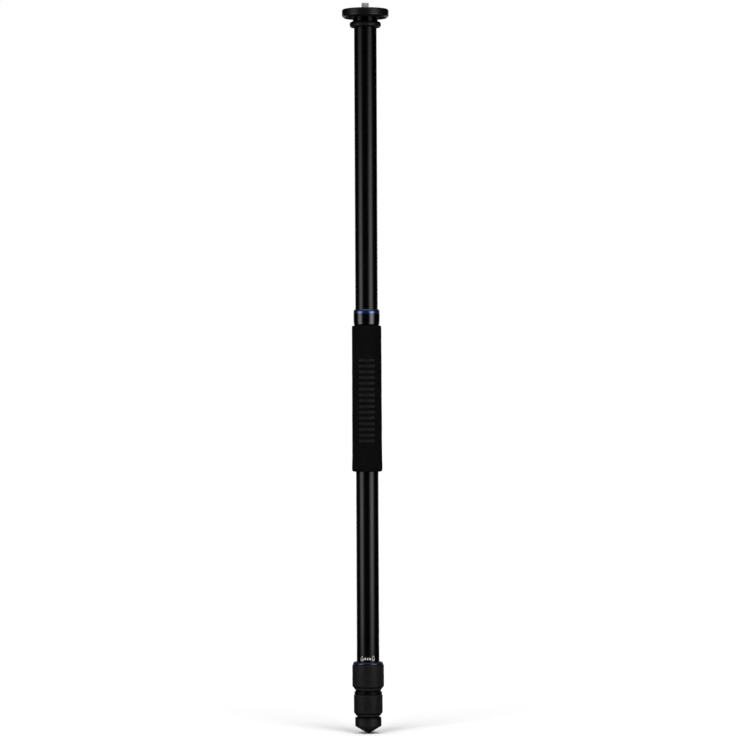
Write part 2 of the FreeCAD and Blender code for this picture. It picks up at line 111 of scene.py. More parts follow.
def filleted(outline):
    """The outline's points, with each fillet drawn as an arc between two support points."""
    corners = [Corner(*corner) for corner in outline]
    points = []
    for index, corner in enumerate(corners):
        if corner.fillet <= 0:
            points.append((corner.radius, corner.height, corner.sides))
            continue
        here = Vector(corner[:2])
        back = Vector(corners[index - 1][:2]) - here
        ahead = Vector(corners[(index + 1) % len(corners)][:2]) - here
        half = back.angle(ahead) / 2
        cut = corner.fillet / math.tan(half)
        inward = (back.normalized() + ahead.normalized()).normalized()
        centre = here + inward * (corner.fillet / math.sin(half))
        support = cut + SUPPORT_SHARE * corner.fillet
        start = here + back.normalized() * cut - centre
        end = here + ahead.normalized() * cut - centre
        arc = [centre + start.slerp(end, step / FILLET_STEPS).normalized() * corner.fillet
               for step in range(FILLET_STEPS + 1)]
        if support < back.length / 2:
            arc.insert(0, here + back.normalized() * support)
        if support < ahead.length / 2:
            arc.append(here + ahead.normalized() * support)
        points.extend((place.x, place.y, corner.sides) for place in arc)
    return points


def with_rows(points, low, high, spacing):
    """Points added so that no side is longer than the spacing between two heights."""
    dense = []
    for index, start in enumerate(points):
        end = points[(index + 1) % len(points)]
        dense.append(start)
        if min(start[1], end[1]) < low - TINY or max(start[1], end[1]) > high + TINY:
            continue
        length = math.hypot(end[0] - start[0], end[1] - start[1])
        parts = max(1, math.ceil(length / spacing))
        for part in range(1, parts):
            share = part / parts
            dense.append((start[0] + (end[0] - start[0]) * share, start[1] + (end[1] - start[1]) * share,
                          start[2]))
    return dense


def reach_at(radius, sides, turn):
    """Distance from the axis at a turn, for a round or many-sided ring; a sided one is given across flats."""
    if not sides:
        return radius
    step = 2 * math.pi / sides
    return radius / math.cos((turn % step) - step / 2)


def revolve(points, segments):
    """Mesh of an anticlockwise outline turned about the long axis."""
    places, rings = [], []
    for radius, height, sides in points:
        turns = [0.0] if radius < TINY else [2 * math.pi * k / segments for k in range(segments)]
        rings.append((len(places), len(turns)))
        for turn in turns:
            reach = reach_at(radius, sides, turn)
            places.append((reach * math.cos(turn), reach * math.sin(turn), height))
    faces = []
    for index, (low, low_count) in enumerate(rings):
        high, high_count = rings[(index + 1) % len(rings)]
        if low_count == 1 and high_count == 1:
            continue
        for k in range(segments):
            after = (k + 1) % segments
            if low_count == 1:
                faces.append((low, high + after, high + k))
            elif high_count == 1:
                faces.append((low + k, low + after, high))
            else:
                faces.append((low + k, low + after, high + after, high + k))
    mesh = bpy.data.meshes.new("turned")
    mesh.from_pydata(places, [], faces)
    return mesh


def smooth(mesh):
    mesh.shade_smooth()
    mesh.set_sharp_from_angle(angle=SMOOTH_LIMIT)


def add_piece(name, mesh):
    old = bpy.data.objects.get(name)
    if old is not None:
        bpy.data.objects.remove(old)
    mesh.name = name
    piece = bpy.data.objects.new(name, mesh)
    bpy.context.scene.collection.objects.link(piece)
    return piece


def turned(name, outline, segments, rows=None):
    """A round piece from its outline. rows gives two heights and the longest side between them."""
    points = filleted(outline)
    if rows is not None:
        points = with_rows(points, *rows)
    mesh = revolve(points, segments)
    smooth(mesh)
    return add_piece(name, mesh)


def tube_outline(bore, radius, low, high, edge=0.0):
    return [(bore, low, edge), (radius, low, edge), (radius, high, edge), (bore, high, edge)]


# Node trees

def sum_method(operation, swapped=False):
    """A method of Value that puts it and another number into a maths node."""
    def method(self, other):
        pair = (other, self) if swapped else (self, other)
        return self.graph.math(operation, *pair)
    return method


class Value:
    """A number worked out inside a node tree, for sums that read like plain ones."""

    def __init__(self, graph, socket):
        self.graph = graph
        self.socket = socket

    __add__ = sum_method("ADD")
    __sub__ = sum_method("SUBTRACT")
    __rsub__ = sum_method("SUBTRACT", swapped=True)
    __mul__ = sum_method("MULTIPLY")
    __truediv__ = sum_method("DIVIDE")
    __rtruediv__ = sum_method("DIVIDE", swapped=True)
    __gt__ = sum_method("GREATER_THAN")
    __lt__ = sum_method("LESS_THAN")


class Graph:
    """A node tree, with short ways to add a node and to join it to others."""

    def __init__(self, tree):
        self.tree = tree

    def join(self, value, socket):
        if isinstance(value, Value):
            value = value.socket
        if isinstance(value, bpy.types.NodeSocket):
            self.tree.links.new(value, socket)
        elif isinstance(value, tuple) and len(value) == 3 and len(socket.default_value) == 4:
            socket.default_value = (*value, 1.0)
        else:
            socket.default_value = value

    def add(self, kind, inputs=None, **settings):
        node = self.tree.nodes.new(kind)
        for name, value in settings.items():
            setattr(node, name, value)
        for name, value in (inputs or {}).items():
            self.join(value, node.inputs[name])
        return node

    def math(self, operation, *values):
        node = self.add("ShaderNodeMath", operation=operation)
        for socket, value in zip(node.inputs, values):
            self.join(value, socket)
        return Value(self, node.outputs[0])

    def ramp(self, value, low, high, start=0.0, end=1.0, kind="LINEAR"):
        """Map low..high of a value to start..end, and hold it there."""
        node = self.add("ShaderNodeMapRange", {"Value": value, "From Min": low, "From Max": high,
                                               "To Min": start, "To Max": end}, interpolation_type=kind)
        return Value(self, node.outputs["Result"])

    def parts(self, vector):
        node = self.add("ShaderNodeSeparateXYZ", {"Vector": vector})
        return [Value(self, part) for part in node.outputs]

    def vector(self, across, depth, up):
        return self.add("ShaderNodeCombineXYZ", {"X": across, "Y": depth, "Z": up}).outputs["Vector"]

    def radius(self, across, depth):
        return self.math("SQRT", across * across + depth * depth)


class Spot(NamedTuple):
    """Where a point is: sideways, in depth, in height, and its distance from the long axis."""
    across: Value
    depth: Value
    up: Value
    radius: Value


class ShapeTree(Graph):
    """A Geometry Nodes tree with named sizes, which ends in real mesh and a set material."""

    def __init__(self, name, sizes):
        super().__init__(bpy.data.node_groups.new(name, "GeometryNodeTree"))
        sockets = self.tree.interface
        sockets.new_socket("Geometry", in_out="OUTPUT", socket_type="NodeSocketGeometry")
        sockets.new_socket("Geometry", in_out="INPUT", socket_type="NodeSocketGeometry")
        for size, default in sizes.items():
            kind = "NodeSocketInt" if isinstance(default, int) else "NodeSocketFloat"
            sockets.new_socket(size, in_out="INPUT", socket_type=kind).default_value = default
        sockets.new_socket("Finish", in_out="INPUT", socket_type="NodeSocketMaterial")
        self.given = self.tree.nodes.new("NodeGroupInput").outputs
        self.sizes = [Value(self, self.given[size]) for size in sizes]

    def spot(self):
        across, depth, up = self.parts(self.add("GeometryNodeInputPosition").outputs[0])
        return Spot(across, depth, up, self.radius(across, depth))

    def turn(self, spot):
        return self.math("ARCTAN2", spot.depth, spot.across)

    def moved(self, position):
        node = self.add("GeometryNodeSetPosition", {"Geometry": self.given["Geometry"], "Position": position})
        return node.outputs["Geometry"]

    def pulled_in(self, spot, wanted):
        """End the tree with each point moved along its radius to the wanted distance from the axis."""
        share = wanted / spot.radius
        return self.end(self.moved(self.vector(spot.across * share, spot.depth * share, spot.up)))

    def end(self, geometry):
        real = self.add("GeometryNodeRealizeInstances", {"Geometry": geometry}).outputs["Geometry"]
        done = self.add("GeometryNodeSetMaterial", {"Geometry": real, "Material": self.given["Finish"]})
        self.tree.links.new(done.outputs["Geometry"], self.add("NodeGroupOutput").inputs[0])
        return self.tree


def thread_tree():
    """Cuts a right-hand thread into a plain rod that has rows enough."""
    tree = ShapeTree("Screw thread", {"Pitch": 1.0 * MM, "Depth": 0.5 * MM, "Crest": 5 * MM, "Low": 0.0,
                                      "High": 1.0, "Run out": 1.0 * MM})
    pitch, depth, crest, low, high, run_out = tree.sizes
    spot = tree.spot()
    phase = tree.math("FRACT", spot.up / pitch - tree.turn(spot) / (2 * math.pi))
    flank = tree.math("ABSOLUTE", phase * 2.0 - 1.0)
    groove = tree.ramp(flank, 0.14, 0.9)
    ended = spot.up < high
    shown = tree.ramp((spot.up - low) / run_out, 0.0, 1.0) * ended
    outside = 1.0 - (spot.up > low) * ended
    limit = crest - groove * depth * shown + outside
    return tree.pulled_in(spot, tree.math("MINIMUM", spot.radius, limit))


def rib_tree():
    """Moulds upright grooves into the skin of a rubber sleeve, which leaves ribs."""
    tree = ShapeTree("Moulded ribs", {"Count": 60, "Depth": 0.3 * MM, "Skin": 15 * MM, "Low": 0.0,
                                      "High": 1.0, "Fade": 1.0 * MM})
    count, depth, skin, low, high, fade = tree.sizes
    spot = tree.spot()
    groove = tree.ramp(tree.math("COSINE", tree.turn(spot) * count), -0.1, 0.95, kind=SOFT)
    rise = tree.ramp((spot.up - low) / fade, 0.0, 1.0, kind=SOFT)
    fall = tree.ramp((high - spot.up) / fade, 0.0, 1.0, kind=SOFT)
    cut = groove * (rise * fall) * (spot.radius > skin)
    return tree.pulled_in(spot, spot.radius - cut * depth)


def foam_tree():
    """Gives a foam sleeve the slight unevenness of its skin."""
    tree = ShapeTree("Foam skin", {"Depth": 0.2 * MM, "Lump": 20 * MM, "Skin": 15 * MM})
    depth, lump, skin = tree.sizes
    spot = tree.spot()
    place = tree.vector(spot.across, spot.depth, spot.up)
    lumps = tree.add("ShaderNodeTexNoise", {"Vector": place, "Scale": 1.0 / lump, "Detail": 3.0,
                                            "Roughness": 0.45})
    sunk = tree.ramp(lumps.outputs["Fac"], 0.35, 0.75) * depth
    return tree.pulled_in(spot, spot.radius - sunk * (spot.radius > skin))


def bar_tree():
    """Bends one flat bar round a sleeve and stands copies of it above each other."""
    tree = ShapeTree("Row of bars", {"Count": 10, "Sleeve": 18 * MM, "Low": 0.0, "High": 0.1,
                                     "Low out": 0.0, "High out": 0.0})
    count, sleeve, low, high, low_out, high_out = tree.sizes
    across, depth, up = tree.parts(tree.add("GeometryNodeInputPosition").outputs[0])
    turn, reach = across / sleeve, sleeve - depth
    sideways, forwards = tree.math("SINE", turn) * reach, tree.math("COSINE", turn) * (reach * -1.0)
    bent = tree.moved(tree.vector(sideways, forwards, up))
    first, last = tree.vector(0.0, low_out * -1.0, low), tree.vector(0.0, high_out * -1.0, high)
    line = tree.add("GeometryNodeMeshLine", {"Count": count, "Start Location": first, "Offset": last},
                    mode="END_POINTS")
    copies = tree.add("GeometryNodeInstanceOnPoints", {"Points": line.outputs["Mesh"], "Instance": bent})
    return tree.end(copies.outputs["Instances"])


def circle_tree():
    """Stands copies of a piece on a circle round the long axis."""
    tree = ShapeTree("Circle of screws", {"Count": 3, "Circle": 20 * MM})
    count, circle = tree.sizes
    ring = tree.add("GeometryNodeMeshCircle", {"Vertices": count, "Radius": circle})
    copies = tree.add("GeometryNodeInstanceOnPoints", {"Points": ring.outputs["Mesh"],
                                                       "Instance": tree.given["Geometry"]})
    return tree.end(copies.outputs["Instances"])


TREES = {"thread": thread_tree, "ribs": rib_tree, "foam": foam_tree, "bars": bar_tree, "circle": circle_tree}


@functools.cache
def shape_tree(name):
    return TREES[name]()


def baked(piece):
    """Replace a piece's mesh and modifiers by the mesh that they make."""
    bpy.context.view_layer.update()
    seen = piece.evaluated_get(bpy.context.evaluated_depsgraph_get())
    mesh = bpy.data.meshes.new_from_object(seen)
    piece.modifiers.clear()
    old = piece.data
    piece.data = mesh
    bpy.data.meshes.remove(old)
    mesh.name = piece.name
    smooth(mesh)


def shape_with(piece, tree_name, finish_name, **sizes):
    """Run a tree on a piece, keep the result as its plain mesh, and take the modifier off."""
    tree = shape_tree(tree_name)
    modifier = piece.modifiers.new(tree.name, "NODES")
    modifier.node_group = tree
    wanted = {name.replace("_", " ").capitalize(): value for name, value in sizes.items()}
    wanted["Finish"] = finish(finish_name)
    for socket in tree.interface.items_tree:
        if socket.in_out == "INPUT" and socket.name in wanted:
            modifier[socket.identifier] = wanted.pop(socket.name)
    if wanted:
        raise ValueError(f"{tree.name} has no input named {', '.join(wanted)}")
    baked(piece)


# Finishes

class Finish(Graph):
    """A procedural material on Object coordinates."""

    def __init__(self, name, **uniform):
        self.material = bpy.data.materials.new(name)
        self.material.use_nodes = True
        super().__init__(self.material.node_tree)
        self.shader = next(n for n in self.tree.nodes if n.type == "BSDF_PRINCIPLED")
        self.place = self.add("ShaderNodeTexCoord").outputs["Object"]
        for name, value in uniform.items():
            self.join(value, self.shader.inputs[name.replace("_", " ").title().replace("Ior", "IOR")])

    def noise(self, scale, detail=2.0, roughness=0.5, vector=None):
        """Noise whose scale is one number, or three to stretch it."""
        if vector is None:
            vector = self.place
        if isinstance(scale, tuple):
            vector = self.add("ShaderNodeMapping", {"Vector": vector, "Scale": scale}).outputs["Vector"]
            scale = 1.0
        node = self.add("ShaderNodeTexNoise", {"Vector": vector, "Scale": scale, "Detail": detail,
                                               "Roughness": roughness})
        return Value(self, node.outputs["Fac"])

    def pores(self, scale):
        node = self.add("ShaderNodeTexVoronoi", {"Vector": self.place, "Scale": scale})
        return Value(self, node.outputs["Distance"])

    def turning_marks(self, scale):
        """Fine rings left by the tool of a lathe, the same all round the axis."""
        across, depth, up = self.parts(self.place)
        return self.noise(scale, 4.0, 0.7, vector=self.vector(self.radius(across, depth) + up, 0.0, 0.0))

    def blend(self, share, first, second):
        node = self.add("ShaderNodeMix", data_type="RGBA")
        self.join(share, node.inputs["Factor"])
        self.join(first, node.inputs[6])
        self.join(second, node.inputs[7])
        return Value(self, node.outputs[2])

    def colour(self, share, first, second):
        self.join(self.blend(share, first, second), self.shader.inputs["Base Color"])

    def rough(self, value, low, high):
        self.join(self.ramp(value, 0.3, 0.7, low, high), self.shader.inputs["Roughness"])

    def bumps(self, *layers):
        """Stack bump layers, each a height and how deep it is."""
        inputs = {}
        for height, distance in layers:
            inputs.update({"Height": height, "Distance": distance, "Strength": 1.0})
            inputs["Normal"] = self.add("ShaderNodeBump", inputs).outputs["Normal"]
        self.join(inputs["Normal"], self.shader.inputs["Normal"])


RECIPES = {}


def recipe(name, **uniform):
    """Keep a function that fills a fresh material, under the material's name and with its even values."""
    def keep(fill):
        RECIPES[name] = fill, uniform
        return fill
    return keep


def finish(name):
    """The material of this name, made when it is first asked for."""
    known = bpy.data.materials.get(name)
    if known is not None:
        return known
    fill, uniform = RECIPES[name]
    made = Finish(name, **uniform)
    fill(made)
    return made.material


@recipe("drawn_black_tube", specular_ior_level=0.27)
def drawn_tube(made):
    """Black anodised tube: satin, with faint lines along its length."""
    lines = made.noise((2600, 2600, 14), 3.0, 0.6)
    made.colour(made.ramp(lines, 0.35, 0.7), (0.0003, 0.0003, 0.0003), (0.0008, 0.0007, 0.0007))
    made.rough(made.noise((90, 90, 22), 3.0), 0.22, 0.28)
    made.bumps((lines, 0.006 * MM), (made.noise(5200), 0.008 * MM))


# The neck's copy reflects less: painted shade from the disc above it.
@recipe("dull_black_anodising", specular_ior_level=0.17)
@recipe("glossy_black_anodising", specular_ior_level=0.52)
def polished_black(made):
    """Black anodising over lathe marks, glossy on most fittings; on the neck a lower specular level is
    painted shade from the disc above.
    """
    made.colour(made.noise(160, 3.0), (0.0003, 0.0003, 0.0003), (0.0008, 0.0007, 0.0007))
    made.rough(made.noise(260, 4.0, 0.6), 0.15, 0.21)
    made.bumps((made.turning_marks(5200), 0.0035 * MM))


def anodise(made, tint, dullness=0.24):
    """Coloured anodising on turned aluminium: metal below a clear, glossy skin."""
    marks = made.turning_marks(4200)
    dark, light = (tuple(part * share for part in tint) for share in (0.82, 1.15))
    made.colour(made.ramp(marks, 0.3, 0.7), dark, light)
    made.rough(made.noise(300, 3.0), dullness, dullness + 0.08)
    made.bumps((marks, 0.004 * MM))


@recipe("blue_anodising", metallic=0.9, coat_weight=0.9, coat_roughness=0.24, coat_ior=1.7)
def collar_blue(made):
    """Clear deep blue of the ring on the collar."""
    anodise(made, bpy.context.scene.leg_metal.ring_blue)


@recipe("lock_1_ring_anodising", metallic=0.9, coat_weight=0.24, coat_roughness=0.24, coat_ior=1.7)
def upper_lock_blue(made):
    """Dim blue of the ring over the first lock."""
    anodise(made, bpy.context.scene.leg_metal.upper_lock_blue)


# Painted shade: the second lock's ring is darkened nearly to black here.
@recipe("lock_2_ring_anodising", metallic=0.9, coat_weight=0.05, coat_roughness=0.36, coat_ior=1.7)
def lower_lock_blue(made):
    """Ring blue darkened nearly to black as painted shade, on the ring over the second lock."""
    anodise(made, bpy.context.scene.leg_metal.lower_lock_blue, 0.36)


@recipe("satin_black_disc", specular_ior_level=0.33)
def disc_black(made):
    """Satin black disc, turned and blasted, a little worn on its rim."""
    disc = span("top_plate")
    across, depth, up = made.parts(made.place)
    rim = made.ramp(made.radius(across, depth), disc.radius - 1.9 * MM, disc.radius - 1.0 * MM)
    top = made.ramp(up, disc.high - 1.6 * MM, disc.high - 0.5 * MM)
    # Real wear: the top of the rim turns paler where it rubs.
    lightened = rim * top * made.ramp(made.noise(700, 5.0, 0.7), 0.5, 0.7)
    base = made.blend(made.noise(240, 4.0), (0.0018, 0.0017, 0.0018), (0.0034, 0.0032, 0.0033))
    made.colour(lightened * 0.25, base, (0.05, 0.05, 0.052))
    made.rough(made.noise(420, 4.0, 0.6), 0.31, 0.4)
    made.bumps((made.turning_marks(2600), 0.008 * MM), (made.noise(4200), 0.008 * MM))


@recipe("moulded_rubber", specular_ior_level=0.26)
def rubber(made):
    """Matte moulded rubber with a fine grain."""
    made.colour(made.noise(150, 4.0, 0.6), (0.0016, 0.0015, 0.0015), (0.0036, 0.0034, 0.0033))
    made.rough(made.noise(600, 3.0), 0.40, 0.52)
    made.bumps((made.noise(2400, 3.0, 0.6), 0.03 * MM), (made.noise(380), 0.05 * MM))


@recipe("matte_black_nut", specular_ior_level=0.3)
def matte_nut(made):
    """Matte black anodising on the twist locks' nuts, its tone raised as painted light on their shaded,
    downward-facing flange.
    """
    # Painted light: the tone is raised so that the shaded lower flange reads lighter.
    made.colour(made.noise(180, 4.0, 0.6), (0.0130, 0.0126, 0.0125), (0.0190, 0.0185, 0.0182))
    made.rough(made.noise(620, 3.0), 0.42, 0.54)
    made.bumps((made.turning_marks(3000), 0.006 * MM), (made.noise(3600), 0.008 * MM))


@recipe("foot_rubber_scuffed", specular_ior_level=0.28)
def foot_rubber(made):
    """Harder rubber of the foot, dusty and scuffed near its tip, with painted shade that turns its top edge
    nearly black and painted light that makes its upper cone paler.
    """
    up, top = made.parts(made.place)[2], span("rubber_foot").high
    scuffs = made.ramp(made.noise((900, 900, 500), 6.0, 0.72), 0.48, 0.68)
    dust = made.ramp(up, 9 * MM, 0.5 * MM) * scuffs
    base = made.blend(made.noise(210, 4.0, 0.6), (0.0028, 0.0027, 0.0026), (0.0058, 0.0056, 0.0054))
    # Painted light: a paler band on the cone, between 4.5 and 9.6 mm high.
    cone = made.ramp(up, 9.6 * MM, 8.8 * MM) * made.ramp(up, 4.5 * MM, 7.5 * MM)
    lightened = made.blend(cone, base, (0.014, 0.0135, 0.013))
    # Painted shade: the top 2.4 mm of the foot, under the lower lock, turns nearly black.
    painted_top_shade = made.blend(made.ramp(up, top - 2.4 * MM, top - 2.0 * MM), lightened, (0.0004, 0.0004, 0.0004))
    made.colour(dust * 0.45, painted_top_shade, (0.045, 0.042, 0.038))
    made.rough(made.noise(500, 3.0), 0.42, 0.58)
    made.bumps((made.noise(2000, 3.0, 0.6), 0.035 * MM), (scuffs, 0.03 * MM))


@recipe("closed_cell_foam", specular_ior_level=0.1)
def foam_skin(made):
    """Closed-cell foam: very dark, matte, with fine open pores."""
    mottle = made.noise(120, 4.0, 0.6)
    made.colour(made.ramp(mottle, 0.3, 0.7), (0.0010, 0.0009, 0.0009), (0.0024, 0.0022, 0.0021))
    made.rough(mottle, 0.85, 0.98)
    made.bumps((made.pores(2300.0), 0.10 * MM), (made.ramp(made.pores(900.0), 0.0, 0.35), 0.07 * MM),
               (made.noise(260, 3.0), 0.12 * MM))


@recipe("raised_bar_skin", specular_ior_level=0.18)
def bar_skin(made):
    """Slightly paler skin of the raised bars on the foam."""
    made.colour(made.noise(700, 3.0), (0.0026, 0.0026, 0.0025), (0.0048, 0.0048, 0.0046))
    made.rough(made.noise(900), 0.6, 0.75)
    made.bumps((made.noise(2600, 3.0), 0.03 * MM))


@recipe("machined_steel", metallic=0.6)
def bright_steel(made):
    """Bright machined steel."""
    made.colour(made.noise(500, 4.0), (0.56, 0.56, 0.57), (0.72, 0.72, 0.73))
    made.rough(made.noise(1500, 3.0), 0.42, 0.54)
    made.bumps((made.turning_marks(6000), 0.003 * MM))


@recipe("black_oxide_steel", metallic=0.8)
def black_steel(made):
    """Oiled black oxide on small steel screws."""
    made.colour(made.noise(1800, 4.0), (0.025, 0.025, 0.027), (0.06, 0.058, 0.06))
    made.rough(made.noise(1500, 3.0), 0.3, 0.45)
    made.bumps((made.noise(5000), 0.004 * MM))


@recipe("natural_nylon", specular_ior_level=0.5, subsurface_weight=0.08, subsurface_scale=1.0 * MM)
def pale_nylon(made):
    """Natural nylon, slightly waxy."""
    made.colour(made.noise(220, 3.0), (0.36, 0.34, 0.29), (0.44, 0.42, 0.36))
    made.rough(made.noise(700), 0.4, 0.55)
    made.bumps((made.noise(2500), 0.01 * MM))


@recipe("black_nylon", specular_ior_level=0.16)
def dark_nylon(made):
    """Black moulded nylon."""
    made.colour(made.noise(300, 3.0), (0.0005, 0.0005, 0.0005), (0.0011, 0.0011, 0.0011))
    made.rough(made.noise(800), 0.42, 0.55)
    made.bumps((made.noise(3000), 0.012 * MM))


@recipe("pale_ink", specular_ior_level=0.3)
def printed_ink(made):
    """Pale grey ink printed on the tube, a little uneven."""
    made.colour(made.ramp(made.noise(2600, 4.0, 0.6), 0.35, 0.65), (0.40, 0.40, 0.395), (0.50, 0.50, 0.495))
    made.rough(made.noise(1500), 0.5, 0.62)
    made.bumps((made.noise(4000), 0.006 * MM))


def dress(piece, body, material, slot, *nodes):
    """Give a piece its finish and its body, and hide the CAD nodes it stands for; the slot is not used."""
    if not piece.data.polygons:
        raise RuntimeError(f"{piece.name} has no faces")
    piece.data.materials.clear()
    piece.data.materials.append(finish(material))
    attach(piece, body)
    if nodes:
        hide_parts(*nodes)


def round_piece(name, body, material, slot, node, outline, segments, rows=None, tree=None, **sizes):
    """Turn a piece, cut its pattern with a tree if it has one, and dress it for its node."""
    piece = turned(name, outline, segments, rows)
    if tree is not None:
        shape_with(piece, tree, material, **sizes)
    dress(piece, body, material, slot, node)
    return piece


# Settings

def length(name, description, default):
    return FloatProperty(name=name, description=description, default=default, unit="LENGTH")


def angle(name, description, degrees):
    return FloatProperty(name=name, description=description, default=math.radians(degrees), subtype="ANGLE")


def brightness(name, description, default):
    return FloatProperty(name=name, description=description, default=default, min=0.0)


def colour(name, description, default):
    return FloatVectorProperty(name=name, description=description, default=default, subtype="COLOR")


def number(name, description, default, least):
    return IntProperty(name=name, description=description, default=default, min=least)


class StageSettings(bpy.types.PropertyGroup):
    """Camera, lights and floor."""
    camera_distance: length("Camera distance", "From the camera to the object's axis", 4.1)
    camera_height: length("Camera height", "Height of the level camera above the floor", 0.455)
    camera_side: length("Camera offset", "How far the camera stands to the right of the axis", 0.0015)
    camera_roll: angle("Camera roll", "Tilt of the picture", 0.254)
    camera_lens: FloatProperty(
        name="Lens", description="Focal length for a 36 mm sensor", default=161.0, unit="CAMERA")
    left_panel: brightness("Left panel", "Brightness of the tall soft light on the left", 3.6)
    right_panel: brightness("Right panel", "Brightness of the tall soft light on the right", 4.5)
    panel_top: FloatProperty(
        name="Panel top", description="Brightness of a soft light's top as a share of its middle",
        default=0.3, min=0.0, max=1.0, subtype="FACTOR")
    panel_distance: length("Panel distance", "From a soft light to the object", 1.3)
    panel_width: length("Panel width", "Width of a soft light", 1.2)
    panel_core: length("Panel core", "Width of a soft light's even middle", 0.3)
    panel_height: length("Panel height", "Height of a soft light", 1.6)
    panel_middle: length("Panel middle", "Height of a soft light's centre", 0.45)
    left_panel_turn: angle("Left panel angle", "Angle of the left light from the camera's side", 60)
    right_panel_turn: angle("Right panel angle", "Angle of the right light from the camera's side", 46)
    back_panel: brightness("Back panels", "Brightness of the two soft lights behind the object", 1.5)
    back_width: length("Back width", "Width of a soft light behind the object", 0.6)
    back_turn: angle("Back angle", "Angle of the lights behind the object from the camera's side", 156)
    top_light: brightness("Top light", "Strength of the wide light from above", 0.82)
    front_light: brightness("Front lights", "Strength of each of the two lights that shade the floor", 1.82)
    front_spread: angle("Front spread", "Width of the front lights", 32)
    front_lean: angle("Front lean", "How far the front lights lean from straight above", 50)
    front_turn: angle("Front turn", "Angle of the front lights from the camera's side", 30)
    sky_glow: brightness("Sky glow", "Brightness that shiny surfaces see straight above them", 0.8)
    floor_shade: colour("Floor", "Colour of the floor", (0.86, 0.86, 0.86))


class MetalSettings(bpy.types.PropertyGroup):
    """Tubes, fittings and screws."""
    tube_wall: length("Tube wall", "Wall of the column and leg tubes", 1.2 * MM)
    tube_segments: number("Segments", "Faces round a tube or fitting", 160, 48)
    edge_break: length("Edge break", "Rounding of turned edges", 0.2 * MM)
    ring_blue: colour("Ring blue", "Colour of the collar's anodised ring", (0.016, 0.048, 0.170))
    upper_lock_blue: colour("Upper lock blue", "Dimmer colour of the ring over the upper lock",
                            (0.028, 0.040, 0.086))
    # Painted shade: the lower lock's ring blue is darkened nearly to black.
    lower_lock_blue: colour("Lower lock blue", "Nearly black colour of the ring over the lower lock",
                            (0.0035, 0.0045, 0.0080))
    camera_thread: length("Camera thread", "Pitch of the camera screw and the column's stud", 1.5875 * MM)
    foot_thread: length("Foot thread", "Pitch of the foot's stud", 1.25 * MM)
    set_screw_thread: length("Set screw thread", "Pitch of the set screws", 0.7 * MM)
    set_screw_count: number("Set screws", "Set screws in the disc", 3, 1)
    set_screw_circle: length("Set screw circle", "Radius of the circle that the set screws stand on",
                             23.8 * MM)


class GripSettings(bpy.types.PropertyGroup):
    """Foam sleeve and its raised bars."""
    bar_count: number("Bars", "Raised bars on the foam", 15, 1)
    bar_width: length("Bar width", "Length of a bar round the sleeve", 21 * MM)
    bar_height: length("Bar height", "Height of a bar along the sleeve", 3.4 * MM)
    bar_low: length("Lowest bar", "Height of the lowest bar's middle", 0.3645)
    bar_high: length("Highest bar", "Height of the highest bar's middle", 0.4645)
    bar_relief: length("Bar relief", "How far a bar stands out of the foam", 0.35 * MM)
    unevenness: length("Unevenness", "Depth of the foam's slight dents", 0.25 * MM)


class LockSettings(bpy.types.PropertyGroup):
    """Rubber of the twist locks."""
    rib_count: number("Ribs", "Ribs round the larger lock", 60, 12)
    rib_depth: length("Rib depth", "Depth of the grooves between the ribs", 0.38 * MM)
    print_width: length("Picture width", "Width of the printed lock picture", 18.2 * MM)
    print_aside: length("Picture offset", "How far the picture stands to the left, round the tube", 0.5 * MM)


# Stage

def staged(name, data):
    """A light or camera in the scene."""
    made = bpy.data.objects.new(name, data)
    bpy.context.scene.collection.objects.link(made)
    return made


def stage_camera(settings):
    camera = bpy.data.cameras.new("photo_camera")
    camera.lens, camera.sensor_width = settings.camera_lens, 36.0
    camera.clip_start, camera.clip_end = 0.05, 60.0
    camera.dof.use_dof = False
    holder = staged("photo_camera", camera)
    holder.location = (settings.camera_side, -settings.camera_distance, settings.camera_height)
    holder.rotation_euler = (math.pi / 2, settings.camera_roll, 0.0)
    bpy.context.scene.camera = holder


def stage_panel(name, settings, strength, turn, width, core):
    """Tall soft light for shiny surfaces, faint at its sides and top; turn is from the camera's side."""
    fade_low, fade_high = 0.62, 0.95
    light = bpy.data.lights.new(name, "AREA")
    light.shape = "RECTANGLE"
    light.size, light.size_y = width, settings.panel_height
    light.energy = strength * math.pi * width * settings.panel_height
    light.use_nodes = True
    graph = Graph(light.node_tree)
    across, depth, height = graph.parts(graph.add("ShaderNodeNewGeometry").outputs["Position"])
    aside = graph.math("ABSOLUTE", across * math.cos(turn) + depth * math.sin(turn))
    sides = graph.ramp(aside, core / 2, width / 2, 1.0, 0.0, kind=SOFT)
    top = graph.ramp(height, fade_low, fade_high, 1.0, settings.panel_top, kind=SOFT)
    shader = next(n for n in light.node_tree.nodes if n.type == "EMISSION")
    graph.join(sides * top, shader.inputs["Strength"])
    panel = staged(name, light)
    reach = settings.panel_distance
    place = Vector((reach * math.sin(turn), -reach * math.cos(turn), settings.panel_middle))
    facing = Vector((-place.x, -place.y, 0.0)).to_track_quat("-Z", "Y").to_matrix().to_4x4()
    panel.matrix_world = Matrix.Translation(place) @ facing
    panel.visible_camera = False
    panel.visible_diffuse = False


def stage_sun(name, strength, spread, lean=0.0, turn=0.0):
    """Wide light for matte surfaces; lean is from straight above, turn from the camera's side."""
    light = bpy.data.lights.new(name, "SUN")
    light.energy, light.angle = strength, spread
    sun = staged(name, light)
    source = Vector((math.sin(lean) * math.sin(turn), -math.sin(lean) * math.cos(turn), math.cos(lean)))
    sun.matrix_world = source.to_track_quat("Z", "Y").to_matrix().to_4x4()
    sun.visible_glossy = False


def split_by_ray(graph, ray, chosen, others, output):
    """Give an output one shader for a kind of ray, and another for all the others."""
    mixed = graph.add("ShaderNodeMixShader")
    sources = (graph.add("ShaderNodeLightPath").outputs[ray], others.outputs[0], chosen.outputs[0])
    for source, socket in zip(sources, mixed.inputs):
        graph.join(source, socket)
    graph.join(mixed.outputs[0], graph.add(output).inputs["Surface"])


